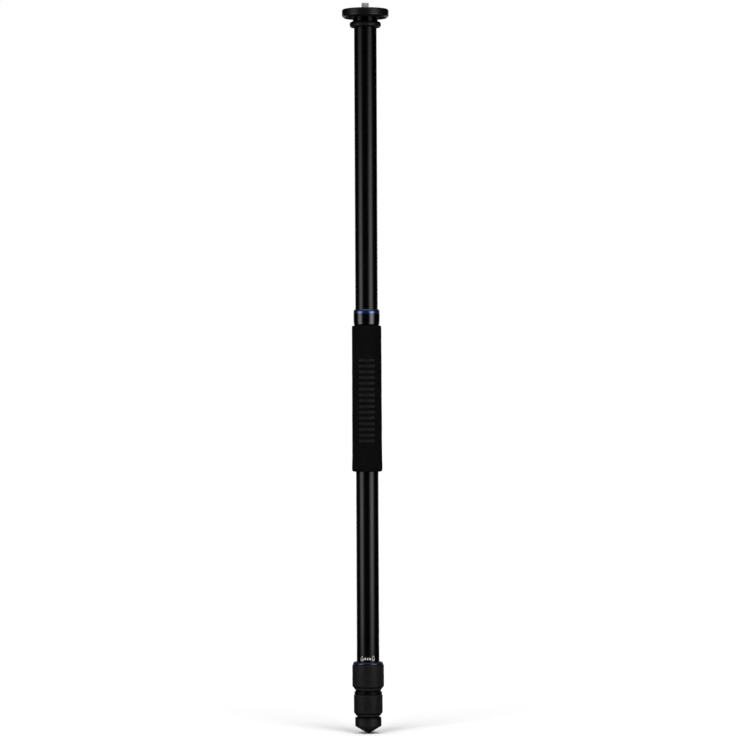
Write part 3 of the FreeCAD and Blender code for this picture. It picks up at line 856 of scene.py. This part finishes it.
def stage_world(settings):
    """White behind the object; shiny surfaces see it nearly dark, but for a glow overhead."""
    glow_low, glow_high, dark = 0.75, 0.97, 0.004
    world = bpy.data.worlds.new("studio")
    world.use_nodes = True
    bpy.context.scene.world = world
    graph = Graph(world.node_tree)
    world.node_tree.nodes.clear()
    rise = graph.parts(graph.add("ShaderNodeTexCoord").outputs["Generated"])[2]
    glow = graph.ramp(rise, glow_low, glow_high, dark, settings.sky_glow, kind=SOFT)
    seen = graph.add("ShaderNodeBackground", {"Color": (1.0, 1.0, 1.0), "Strength": 1.0})
    unseen = graph.add("ShaderNodeBackground", {"Color": (1.0, 1.0, 1.0), "Strength": glow})
    split_by_ray(graph, "Is Camera Ray", seen, unseen, "ShaderNodeOutputWorld")


def stage_floor(settings):
    """Pale floor, which shiny surfaces see nearly dark."""
    reach, dark = 14.0, 0.012
    mesh = bpy.data.meshes.new("studio_floor")
    mesh.from_pydata([(-reach, -reach, 0), (reach, -reach, 0), (reach, reach, 0), (-reach, reach, 0)],
                     [], [(0, 1, 2, 3)])
    floor = add_piece("studio_floor", mesh)
    material = bpy.data.materials.new("studio_floor")
    material.use_nodes = True
    graph = Graph(material.node_tree)
    material.node_tree.nodes.clear()
    shade = tuple(settings.floor_shade)
    pale = graph.add("ShaderNodeBsdfDiffuse", {"Color": shade})
    dull = graph.add("ShaderNodeEmission", {"Color": shade, "Strength": dark})
    split_by_ray(graph, "Is Glossy Ray", dull, pale, "ShaderNodeOutputMaterial")
    mesh.materials.append(material)


class LEG_OT_stage(bpy.types.Operator):
    """Set up the camera, the floor and the soft lights"""
    bl_idname = "tripod_leg.stage"
    bl_label = "Stage"

    def execute(self, context):
        settings, scene = context.scene.leg_stage, context.scene
        stage_camera(settings)
        stage_floor(settings)
        wide, narrow = (settings.panel_width, settings.panel_core), (settings.back_width, 0.0)
        stage_panel("left_panel", settings, settings.left_panel, -settings.left_panel_turn, *wide)
        stage_panel("right_panel", settings, settings.right_panel, settings.right_panel_turn, *wide)
        stage_panel("left_back_panel", settings, settings.back_panel, -settings.back_turn, *narrow)
        stage_panel("right_back_panel", settings, settings.back_panel, settings.back_turn, *narrow)
        stage_sun("top_light", settings.top_light, math.radians(110))
        for side, turn in (("left", -settings.front_turn), ("right", settings.front_turn)):
            stage_sun(f"{side}_front_light", settings.front_light, settings.front_spread,
                      settings.front_lean, turn)
        stage_world(settings)
        scene.view_settings.view_transform = "Standard"
        scene.view_settings.look = "None"
        if scene.camera is None:
            raise RuntimeError("The stage has no camera")
        return {"FINISHED"}


# Disc and its screws

def socket_outline(top, flats, depth):
    """Six-sided socket cut down into the end of a screw, from its rim to its floor."""
    across = flats / 2
    return [(across, top, 0.0, 6), (across, top - depth, 0.0, 6), (0.0, top - depth - across * 0.35)]


class LEG_OT_camera_screw(bpy.types.Operator):
    """Make the threaded steel screw that stands out of the disc"""
    bl_idname = "tripod_leg.camera_screw"
    bl_label = "Camera screw"

    def execute(self, context):
        screw, seat = span("camera_screw"), span("top_plate").high
        head_low, tip, key = seat - SCREW_HEAD, 0.8 * MM, 4.0 * MM
        outline = [(0.0, screw.low), (SCREW_SHANK, screw.low, 0.4 * MM), (SCREW_SHANK, head_low),
                   (screw.radius, head_low, 0.15 * MM), (screw.radius, seat, 0.35 * MM), (SCREW_CREST, seat),
                   (SCREW_CREST, screw.high - tip), (SCREW_CREST - tip, screw.high),
                   *socket_outline(screw.high, key, key)]
        round_piece("camera_stud", "column", "machined_steel", "screw_steel", "camera_screw", outline, 96,
                    (seat, screw.high, 0.12 * MM), "thread", pitch=context.scene.leg_metal.camera_thread,
                    depth=COARSE_DEPTH, crest=SCREW_CREST, low=seat, high=screw.high - THREAD_END,
                    run_out=0.8 * MM)
        return {"FINISHED"}


def mounting_disc(metal):
    """The disc with its chamfers, the pad's groove, the screw's pocket and the set screws' holes."""
    disc, pad = span("top_plate"), span("plate_pad")
    groove_low, groove_in, groove_out = disc.high - 0.8 * MM, PAD_BORE - FIT, pad.radius + FIT
    seat, seat_low, bore = 7.05 * MM, disc.high - SCREW_HEAD, SCREW_SHANK + FIT
    rim, edge, crisp = 1.3 * MM, 0.3 * MM, 0.1 * MM
    outline = [(bore, disc.low), (disc.radius - 2.6 * MM, disc.low, edge),
               (disc.radius, disc.low + 2.3 * MM, 1.9 * MM), (disc.radius, disc.high - rim, edge),
               (disc.radius - rim, disc.high, edge), (groove_out, disc.high, crisp), (groove_out, groove_low),
               (groove_in, groove_low), (groove_in, disc.high, crisp), (seat, disc.high, crisp),
               (seat, seat_low), (bore, seat_low)]
    piece = turned("mounting_disc", outline, 192)
    hole, past = 2.03 * MM, 1 * MM
    drill = turned("disc_drill", tube_outline(0.0, hole, disc.low - past, disc.high + past), 48)
    shape_with(drill, "circle", "satin_black_disc", count=metal.set_screw_count,
               circle=metal.set_screw_circle)
    faces = len(piece.data.polygons)
    holes = piece.modifiers.new("holes", "BOOLEAN")
    holes.operation, holes.solver, holes.object = "DIFFERENCE", "EXACT", drill
    baked(piece)
    bpy.data.objects.remove(drill)
    if len(piece.data.polygons) <= faces:
        raise RuntimeError("The set screws' holes weren't cut")
    dress(piece, "column", "satin_black_disc", "plate_black", "top_plate")


def friction_pad():
    """Rubber ring with concentric ribs on its top."""
    pad, rib_count, rib_depth, soft = span("plate_pad"), 9, 0.22 * MM, 0.1 * MM
    step = (pad.radius - PAD_BORE) / (2 * rib_count)
    ribs = [(pad.radius - step * index, pad.high - (rib_depth if index % 2 else 0.0), 0.06 * MM)
            for index in range(1, 2 * rib_count)]
    outline = [(PAD_BORE, pad.low), (pad.radius, pad.low), (pad.radius, pad.high - soft, soft), *ribs,
               (PAD_BORE, pad.high - soft, soft)]
    round_piece("friction_pad", "column", "moulded_rubber", "rubber_black", "plate_pad", outline, 160)


class LEG_OT_disc(bpy.types.Operator):
    """Make the disc with its screw holes, and the ribbed rubber pad let into it"""
    bl_idname = "tripod_leg.disc"
    bl_label = "Disc and pad"

    def execute(self, context):
        mounting_disc(context.scene.leg_metal)
        friction_pad()
        return {"FINISHED"}


class LEG_OT_set_screws(bpy.types.Operator):
    """Make the three small screws that bite on what stands on the disc"""
    bl_idname = "tripod_leg.set_screws"
    bl_label = "Set screws"

    def execute(self, context):
        metal, whole = context.scene.leg_metal, span("grub_screws")
        radius, cup, bevel, key, past = 2.0 * MM, 1.0 * MM, 0.35 * MM, 1.0 * MM, 1 * MM
        outline = [(0.0, whole.low + 2.2 * MM), (key, whole.low + 1.9 * MM, 0.0, 6), (key, whole.low, 0.0, 6),
                   (radius - bevel, whole.low), (radius, whole.low + bevel), (radius, whole.high - 0.6 * MM),
                   (cup, whole.high), (0.0, whole.high - 0.4 * MM)]
        piece = turned("set_screws", outline, 36, (whole.low, whole.high, 0.1 * MM))
        shape_with(piece, "thread", "black_oxide_steel", pitch=metal.set_screw_thread, depth=0.38 * MM,
                   crest=radius, low=whole.low - past, high=whole.high + past, run_out=0.1 * MM)
        shape_with(piece, "circle", "black_oxide_steel", count=metal.set_screw_count,
                   circle=metal.set_screw_circle)
        dress(piece, "column", "black_oxide_steel", "black_steel", "grub_screws")
        return {"FINISHED"}


# Column and collar

def tube_bore(node, metal):
    return span(node).radius - metal.tube_wall


def telescope_tube(name, node, body, metal):
    """A plain tube of the column or the leg, with broken edges."""
    tube = span(node)
    outline = tube_outline(tube_bore(node, metal), tube.radius, tube.low, tube.high, metal.edge_break)
    round_piece(name, body, "drawn_black_tube", "tube_black", node, outline, metal.tube_segments)


def column_neck(metal):
    """Neck under the disc, with a long plug down into the column."""
    neck, shoulder = span("column_head"), span("bumper_ring").high
    plug, bore, hollow = tube_bore("column_tube", metal) - FIT, SCREW_SHANK + FIT, 9.0 * MM
    top, web_high, web = neck.high - FIT, neck.high - 17.0 * MM, 5 * MM
    outline = [(hollow, neck.low), (plug, neck.low), (plug, shoulder), (neck.radius, shoulder, 0.5 * MM),
               (neck.radius, top, 0.15 * MM), (bore, top), (bore, web_high), (0.0, web_high),
               (0.0, web_high - web), (hollow, web_high - web)]
    # The neck's duller finish is painted shade from the disc above it.
    round_piece("column_neck", "column", "dull_black_anodising", "plate_black", "column_head", outline,
                metal.tube_segments)


def bumper_rubber(metal):
    """Soft ring under the neck, with the seam of its mould round the middle."""
    bumper, bore = span("bumper_ring"), tube_bore("column_tube", metal) + 0.02 * MM
    soft, seam, seam_half = 3.1 * MM, 0.12 * MM, 0.25 * MM
    middle, skin = (bumper.low + bumper.high) / 2, bumper.radius - seam
    outline = [(bore, bumper.low), (skin, bumper.low, soft), (skin, middle - seam_half),
               (bumper.radius, middle, 0.1 * MM), (skin, middle + seam_half), (skin, bumper.high, soft),
               (bore, bumper.high)]
    round_piece("bumper_rubber", "column", "moulded_rubber", "rubber_black", "bumper_ring", outline,
                metal.tube_segments)


def column_fitting(metal):
    """Plug in the column's lower end, with the threaded stud that goes into the leg's collar."""
    fitting, shoulder = span("column_end"), span("column_tube").low
    plug, edge, tip, thread_top = tube_bore("column_tube", metal) - FIT, metal.edge_break, 0.8 * MM, 1.0 * MM
    outline = [(0.0, fitting.low), (SCREW_CREST - tip, fitting.low), (SCREW_CREST, fitting.low + tip),
               (SCREW_CREST, shoulder), (plug, shoulder, edge), (plug, fitting.high, edge),
               (0.0, fitting.high)]
    round_piece("column_fitting", "column", "glossy_black_anodising", "collar_black", "column_end", outline,
                96, (fitting.low, shoulder, 0.13 * MM), "thread", pitch=metal.camera_thread,
                depth=COARSE_DEPTH, crest=SCREW_CREST, low=fitting.low - 2 * MM, high=shoulder - thread_top,
                run_out=0.1 * MM)


def washer_piece(name, node, bore, body, material, slot):
    washer = span(node)
    outline = tube_outline(bore, washer.radius, washer.low, washer.high, 0.15 * MM)
    round_piece(name, body, material, slot, node, outline, 96)


class LEG_OT_column(bpy.types.Operator):
    """Make the centre column with its neck, rubber ring, lower fitting and washer"""
    bl_idname = "tripod_leg.column"
    bl_label = "Centre column"

    def execute(self, context):
        metal = context.scene.leg_metal
        telescope_tube("centre_column", "column_tube", "column", metal)
        column_neck(metal)
        bumper_rubber(metal)
        column_fitting(metal)
        washer_piece("column_thrust_washer", "column_washer", 5.15 * MM, "column_spacer", "natural_nylon",
                     "nylon_pale")
        return {"FINISHED"}


def collar_black(metal):
    """Threaded collar in the leg's top end: a plug, a slightly barrelled skirt and a boss for the ring."""
    collar, leg_top = span("leg_collar"), span("leg_tube_1").high
    shoulder = span("collar_ring").low - 0.03 * MM
    plug, boss, bore, hollow = tube_bore("leg_tube_1", metal) - FIT, 14.4 * MM, 4.85 * MM, 9.5 * MM
    foot, curve_top = (collar.radius - 0.6 * MM, leg_top, 1.8 * MM), (collar.radius, leg_top + 9 * MM)
    web_high, web, edge = collar.high - 14.8 * MM, 5 * MM, 0.2 * MM
    outline = [(hollow, collar.low), (plug, collar.low), (plug, leg_top), foot,
               *bowed(foot, curve_top, 0.16 * MM, 6), curve_top, (collar.radius, shoulder, edge),
               (boss, shoulder), (boss, collar.high, edge), (bore, collar.high, 0.3 * MM), (bore, web_high),
               (0.0, web_high), (0.0, web_high - web), (hollow, web_high - web)]
    round_piece("leg_collar_black", "leg_upper", "glossy_black_anodising", "collar_black", "leg_collar",
                outline, metal.tube_segments)


def collar_band(metal):
    """Blue ring on the collar: a short upright side under a bowed cone."""
    band, bore, side, lip = span("collar_ring"), 14.5 * MM, 2.4 * MM, 0.3 * MM
    start, end = (band.radius, band.low + side), (bore + lip, band.high, 0.1 * MM)
    outline = [(bore, band.low), (band.radius, band.low, 0.2 * MM), start,
               *bowed(start, end, 0.42 * MM, 8), end, (bore, band.high, 0.1 * MM)]
    round_piece("collar_band", "leg_upper", "blue_anodising", "ring_blue", "collar_ring", outline,
                metal.tube_segments)


class LEG_OT_collar(bpy.types.Operator):
    """Make the threaded collar on top of the leg and the blue ring on it"""
    bl_idname = "tripod_leg.collar"
    bl_label = "Leg collar"

    def execute(self, context):
        collar_black(context.scene.leg_metal)
        collar_band(context.scene.leg_metal)
        return {"FINISHED"}


# Leg

def flat_bar(width, height, relief, sunk):
    """Rounded flat bar round the origin, its face towards -Y; the bar tree bends it to the sleeve."""
    spread_across, spread_up = 1.02, 1.06
    mesh = bpy.data.meshes.new("bar")
    made = bmesh.new()
    bmesh.ops.create_grid(made, x_segments=12, y_segments=1, size=0.5)
    for vert in made.verts:
        vert.co = Vector((vert.co.x * width, -relief, vert.co.y * height))
    ends = [e for e in made.edges if e.is_boundary and abs(e.verts[0].co.x - e.verts[1].co.x) < TINY]
    bmesh.ops.subdivide_edges(made, edges=ends, cuts=3)
    for vert in made.verts:
        if abs(vert.co.x) > width / 2 - TINY:
            up = min(1.0, abs(vert.co.z) / (height / 2))
            pull = (height / 2) * (1 - math.sqrt(max(0.0, 1 - up * up)))
            vert.co.x -= math.copysign(pull, vert.co.x)
    rim = [e for e in made.edges if e.is_boundary]
    skirt = bmesh.ops.extrude_edge_only(made, edges=rim)["geom"]
    for vert in (g for g in skirt if isinstance(g, bmesh.types.BMVert)):
        vert.co = Vector((vert.co.x * spread_across, sunk, vert.co.z * spread_up))
    bmesh.ops.contextual_create(made, geom=[e for e in made.edges if e.is_boundary])
    bmesh.ops.recalc_face_normals(made, faces=made.faces)
    made.to_mesh(mesh)
    made.free()
    return mesh


class LEG_OT_foam_grip(bpy.types.Operator):
    """Make the foam sleeve and the raised bars on its front"""
    bl_idname = "tripod_leg.foam_grip"
    bl_label = "Foam grip"

    def execute(self, context):
        settings, foam = context.scene.leg_grip, span("foam_grip")
        bore, top_radius, low_radius = span("leg_tube_1").radius + 0.04 * MM, 18.4 * MM, 18.65 * MM
        low_round, top_round, taper_start = 2.6 * MM, 2.1 * MM, foam.low + 28 * MM
        flare, above = (foam.radius, foam.low + 6 * MM), (low_radius, taper_start)
        outline = [(bore, foam.low), (foam.radius, foam.low, low_round), flare,
                   *bowed(flare, above, -0.04 * MM, 6), above, (top_radius, foam.high, top_round),
                   (bore, foam.high)]
        piece = round_piece("foam_sleeve", "leg_upper", "closed_cell_foam", "foam_black", "foam_grip",
                            outline, 144, (foam.low, foam.high, 2.5 * MM), "foam",
                            depth=settings.unevenness, lump=24 * MM, skin=bore + 1.5 * MM)
        slope = (low_radius - top_radius) / (foam.high - taper_start)
        low_out = (settings.bar_high - settings.bar_low) * slope
        sleeve = low_radius - (settings.bar_high - taper_start) * slope
        bar = flat_bar(settings.bar_width, settings.bar_height, settings.bar_relief, 0.7 * MM)
        bars = add_piece("grip_bars", bar)
        shape_with(bars, "bars", "raised_bar_skin", count=settings.bar_count, sleeve=sleeve,
                   low=settings.bar_low, high=settings.bar_high, low_out=low_out, high_out=0.0)
        dress(bars, "leg_upper", "raised_bar_skin", "rubber_black")
        return {"FINISHED"}


class LEG_OT_leg_tubes(bpy.types.Operator):
    """Make the three telescopic tubes"""
    bl_idname = "tripod_leg.leg_tubes"
    bl_label = "Leg tubes"

    def execute(self, context):
        for number, place in enumerate(("upper", "middle", "lower"), 1):
            telescope_tube(f"{place}_leg_tube", f"leg_tube_{number}", f"leg_{place}", context.scene.leg_metal)
        return {"FINISHED"}


def lock_rubber(number, settings):
    """Ribbed rubber sleeve of a twist lock."""
    rubber = span(f"lock_{number}_grip")
    bore, shoulder, taper = rubber.radius - 2.05 * MM, 2.0 * MM, rubber.low + 2.0 * MM
    outline = [(bore, rubber.low), (bore + 0.35 * MM, rubber.low, 0.1 * MM), (rubber.radius, taper, 1.2 * MM),
               (rubber.radius, rubber.high, shoulder), (bore, rubber.high)]
    ribs = round(settings.rib_count * rubber.radius / span("lock_1_grip").radius)
    round_piece(f"lock_{number}_rubber", f"lock_{number}", "moulded_rubber", "rubber_black",
                f"lock_{number}_grip", outline, ribs * 8, (rubber.low, rubber.high, 1.0 * MM), "ribs",
                count=ribs, depth=settings.rib_depth, skin=bore + 0.9 * MM, low=taper - 0.6 * MM,
                high=rubber.high - shoulder + 0.9 * MM, fade=1.4 * MM)


def lock_band(number, body, top_round, slope, segments):
    """Ring on the tube above a twist lock; its top slopes down to a round shoulder."""
    ring, bore = span(f"lock_{number}_ring"), span(f"leg_tube_{number}").radius + FIT
    outline = [(bore, ring.low), (ring.radius, ring.low, 0.12 * MM),
               (ring.radius, ring.high - slope, top_round), (bore, ring.high, 0.1 * MM)]
    round_piece(f"lock_{number}_band", body, f"lock_{number}_ring_anodising", "ring_blue",
                f"lock_{number}_ring", outline, segments)


def lock_shell(number, segments):
    """Nut of a twist lock: a sleeve over the threaded one, and inside it the cone round the collet."""
    nut, grip, seal, collet = (span(f"lock_{number}_{part}") for part in ("nut", "grip", "seal", "collet"))
    outer, inner = span(f"leg_tube_{number}").radius, span(f"leg_tube_{number + 1}").radius
    skin, thread = outer + 3.52 * MM, outer + 2.08 * MM
    cone_top, cone_low = outer + 1.06 * MM, inner + 1.26 * MM
    bore, pocket, edge = inner + 0.4 * MM, seal.radius + 0.04 * MM, 0.2 * MM
    pocket_top, flange, floor = nut.low + 1.0 * MM, nut.low + 2.0 * MM, nut.low + 3.0 * MM
    outline = [(pocket, nut.low), (grip.radius - 2.9 * MM, nut.low, 0.25 * MM),
               (nut.radius, flange, 0.12 * MM), (skin, flange), (skin, nut.high, edge),
               (thread, nut.high, edge), (thread, collet.high), (cone_top, collet.high),
               (cone_top, floor + 5.1 * MM), (cone_low, floor), (bore, floor),
               (bore, pocket_top), (pocket, pocket_top)]
    # The nut's paler tone is painted light on its shaded lower flange.
    round_piece(f"lock_{number}_shell", f"lock_{number}", "matte_black_nut", "collar_black",
                f"lock_{number}_nut", outline, segments)


def lock_wiper(number, segments):
    """Dust ring at the bottom of a twist lock."""
    seal, bore = span(f"lock_{number}_seal"), span(f"leg_tube_{number + 1}").radius + FIT
    outline = [(bore, seal.low, 0.15 * MM), (seal.radius - 0.5 * MM, seal.low, 0.3 * MM),
               (seal.radius, seal.low + 0.9 * MM), (seal.radius, seal.high), (bore, seal.high)]
    round_piece(f"lock_{number}_wiper", f"lock_{number}", "moulded_rubber", "seal_rubber",
                f"lock_{number}_seal", outline, segments)


class LEG_OT_twist_locks(bpy.types.Operator):
    """Make both twist locks: ring, ribbed rubber, nut and dust wiper"""
    bl_idname = "tripod_leg.twist_locks"
    bl_label = "Twist locks"

    def execute(self, context):
        segments = context.scene.leg_metal.tube_segments
        bands = ((1, "leg_upper", 1.8 * MM, 0.9 * MM), (2, "leg_middle", 0.6 * MM, 0.0))
        for number, body, top_round, slope in bands:
            lock_rubber(number, context.scene.leg_lock)
            lock_band(number, body, top_round, slope, segments)
            lock_shell(number, segments)
            lock_wiper(number, segments)
        return {"FINISHED"}


# Printed picture

def add_stroke(made, path, widths):
    """Add a flat stroke to a bmesh, along a path of places across and up, with a width at each place."""
    pairs = []
    for index, (across, up) in enumerate(path):
        before, after = path[max(index - 1, 0)], path[min(index + 1, len(path) - 1)]
        along = Vector((after[0] - before[0], after[1] - before[1])).normalized()
        aside = Vector((-along.y, along.x)) * widths[index] / 2
        pairs.append([made.verts.new((across + aside.x * side, 0.0, up + aside.y * side))
                      for side in (1, -1)])
    for (left, right), (next_left, next_right) in zip(pairs, pairs[1:]):
        made.faces.new((left, right, next_right, next_left))


def padlock(made, across, low, width, lift):
    """Outline of a small generic padlock; a lift above zero draws its shackle open."""
    height, line, bow = width * 0.9, width * 0.17, width * 0.3
    left, right = across - width / 2, across + width / 2
    body = [(across, low), (right, low), (right, low + height), (left, low + height), (left, low)]
    for start, end in zip(body, body[1:] + body[:1]):
        add_stroke(made, [start, end], [line, line])
    keyhole = [(across, low + height * 0.3), (across, low + height * 0.7)]
    add_stroke(made, keyhole, [line * 1.6, line * 1.6])
    top = low + height + width * (0.28 + lift)
    turns = [math.pi * step / 12 for step in range(13)]
    arc = [(across - bow * math.cos(turn), top + bow * math.sin(turn)) for turn in turns]
    shackle = [(across - bow, low + height), *arc, (across + bow, top - lift * width * 0.3)]
    add_stroke(made, shackle, [line] * len(shackle))


def arrow(made, up, width):
    """Arrow with a head at each end, between the two padlocks."""
    shaft, head, thick = width * 0.15, width * 0.1, width * 0.14
    tip, wide = 0.1 * thick, head * 1.7
    places = [-shaft - head, -shaft, -shaft + TINY, 0.0, shaft - TINY, shaft, shaft + head]
    add_stroke(made, [(place, up) for place in places], [tip, wide, thick, thick, thick, wide, tip])


class LEG_OT_lock_picture(bpy.types.Operator):
    """Print the lock and unlock picture on the tube above the first lock"""
    bl_idname = "tripod_leg.lock_picture"
    bl_label = "Lock picture"

    def execute(self, context):
        width, aside = context.scene.leg_lock.print_width, context.scene.leg_lock.print_aside
        tube, low = span("leg_tube_1"), span("lock_1_ring").high + 2.0 * MM
        size, proud = width * 0.18, tube.radius + FIT
        made = bmesh.new()
        padlock(made, -width / 2 + size / 2, low, size, 0.0)
        padlock(made, width / 2 - size / 2, low, size, 0.25)
        arrow(made, low + 2.05 * MM, width)
        for vert in made.verts:
            turn = FACING_CAMERA + (vert.co.x - aside) / tube.radius
            vert.co = Vector((proud * math.cos(turn), proud * math.sin(turn), vert.co.z))
        bmesh.ops.recalc_face_normals(made, faces=made.faces)
        for face in made.faces:
            if face.normal.dot(face.calc_center_median() * Vector((1, 1, 0))) < 0:
                face.normal_flip()
        mesh = bpy.data.meshes.new("lock_picture")
        made.to_mesh(mesh)
        made.free()
        piece = add_piece("lock_picture", mesh)
        ink = piece.modifiers.new("ink", "SOLIDIFY")
        ink.thickness, ink.offset = 0.07 * MM, -1.0
        baked(piece)
        dress(piece, "leg_upper", "pale_ink", "nylon_pale")
        return {"FINISHED"}


# Foot

def pointed_foot():
    """Rubber foot with a blunt tip, moulded round the stud's round head."""
    foot, stud = span("rubber_foot"), span("foot_stud")
    bore, cavity, gap, cone_top = 4.0 * MM, 8.05 * MM, 0.03 * MM, 9.3 * MM
    head_low, head_high = stud.low - gap, stud.low + STUD_HEAD + gap
    outline = [(0.0, foot.low), (1.4 * MM, foot.low + 0.45 * MM, 1.0 * MM), (foot.radius, cone_top, 0.7 * MM),
               (foot.radius, foot.high, 0.3 * MM), (bore, foot.high, 0.2 * MM), (bore, head_high),
               (cavity, head_high), (cavity, head_low), (0.0, head_low)]
    round_piece("pointed_foot", "foot", "foot_rubber_scuffed", "rubber_black", "rubber_foot", outline, 144)


def foot_bolt(metal):
    """Steel stud of the foot, threaded above the rubber."""
    foot, stud = span("rubber_foot"), span("foot_stud")
    head_high, crest, tip, edge = stud.low + STUD_HEAD, 3.95 * MM, 0.7 * MM, 0.2 * MM
    outline = [(0.0, stud.low), (stud.radius, stud.low, edge), (stud.radius, head_high, edge),
               (crest, head_high), (crest, stud.high - tip), (crest - tip, stud.high), (0.0, stud.high)]
    round_piece("foot_bolt", "foot", "machined_steel", "screw_steel", "foot_stud", outline, 72,
                (foot.high, stud.high, 0.11 * MM), "thread", pitch=metal.foot_thread, depth=0.66 * MM,
                crest=crest, low=foot.high - 1 * MM, high=stud.high - THREAD_END, run_out=0.8 * MM)


class LEG_OT_foot(bpy.types.Operator):
    """Make the pointed rubber foot, its threaded stud and the washer"""
    bl_idname = "tripod_leg.foot"
    bl_label = "Foot"

    def execute(self, context):
        pointed_foot()
        foot_bolt(context.scene.leg_metal)
        # The washer's black is painted shade in the gap between the foot and the lower lock.
        washer_piece("foot_thrust_washer", "foot_washer", 4.35 * MM, "foot_spacer", "black_nylon",
                     "nylon_black")
        return {"FINISHED"}


KEPT_NODES = {
    "glossy_black_anodising": ("leg_sleeve_1", "leg_sleeve_2", "foot_plug"),
    "natural_nylon": ("lock_1_collet", "lock_2_collet", "tube_2_shims", "tube_3_shims"),
    "black_nylon": ("tube_2_cap", "tube_3_cap"),
}


class LEG_OT_inner_pieces(bpy.types.Operator):
    """Give the pieces inside the tubes and locks their finish"""
    bl_idname = "tripod_leg.inner_pieces"
    bl_label = "Inner pieces"

    def execute(self, context):
        for material, nodes in KEPT_NODES.items():
            for node in nodes:
                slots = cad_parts[node].material_slots
                if not slots:
                    raise RuntimeError(f"{node} has no slot for a material")
                for slot in slots:
                    slot.material = finish(material)
        return {"FINISHED"}


SETTINGS = {"leg_stage": StageSettings, "leg_metal": MetalSettings, "leg_grip": GripSettings,
            "leg_lock": LockSettings}
OPERATORS = (LEG_OT_stage, LEG_OT_camera_screw, LEG_OT_disc, LEG_OT_set_screws, LEG_OT_column, LEG_OT_collar,
             LEG_OT_foam_grip, LEG_OT_leg_tubes, LEG_OT_twist_locks, LEG_OT_lock_picture, LEG_OT_foot,
             LEG_OT_inner_pieces)


class LEG_PT_panel(bpy.types.Panel):
    """Sizes, colours and steps of the leg"""
    bl_idname = "LEG_PT_panel"
    bl_label = "Tripod leg"
    bl_space_type = "VIEW_3D"
    bl_region_type = "UI"
    bl_category = "Tripod leg"

    def draw(self, context):
        for name, group in SETTINGS.items():
            box = self.layout.box()
            box.label(text=group.__doc__)
            for key in group.__annotations__:
                box.prop(getattr(context.scene, name), key)
        for step in OPERATORS:
            self.layout.operator(step.bl_idname)


def register():
    for known in (*SETTINGS.values(), *OPERATORS, LEG_PT_panel):
        bpy.utils.register_class(known)
    for name, group in SETTINGS.items():
        setattr(bpy.types.Scene, name, PointerProperty(type=group))


def unregister():
    for name in SETTINGS:
        delattr(bpy.types.Scene, name)
    for known in (LEG_PT_panel, *reversed(OPERATORS), *SETTINGS.values()):
        bpy.utils.unregister_class(known)


def main():
    """Build every piece in order."""
    register()
    for step in OPERATORS:
        group, name = step.bl_idname.split(".")
        getattr(getattr(bpy.ops, group), name)()


if __name__ == "__main__":
    main()
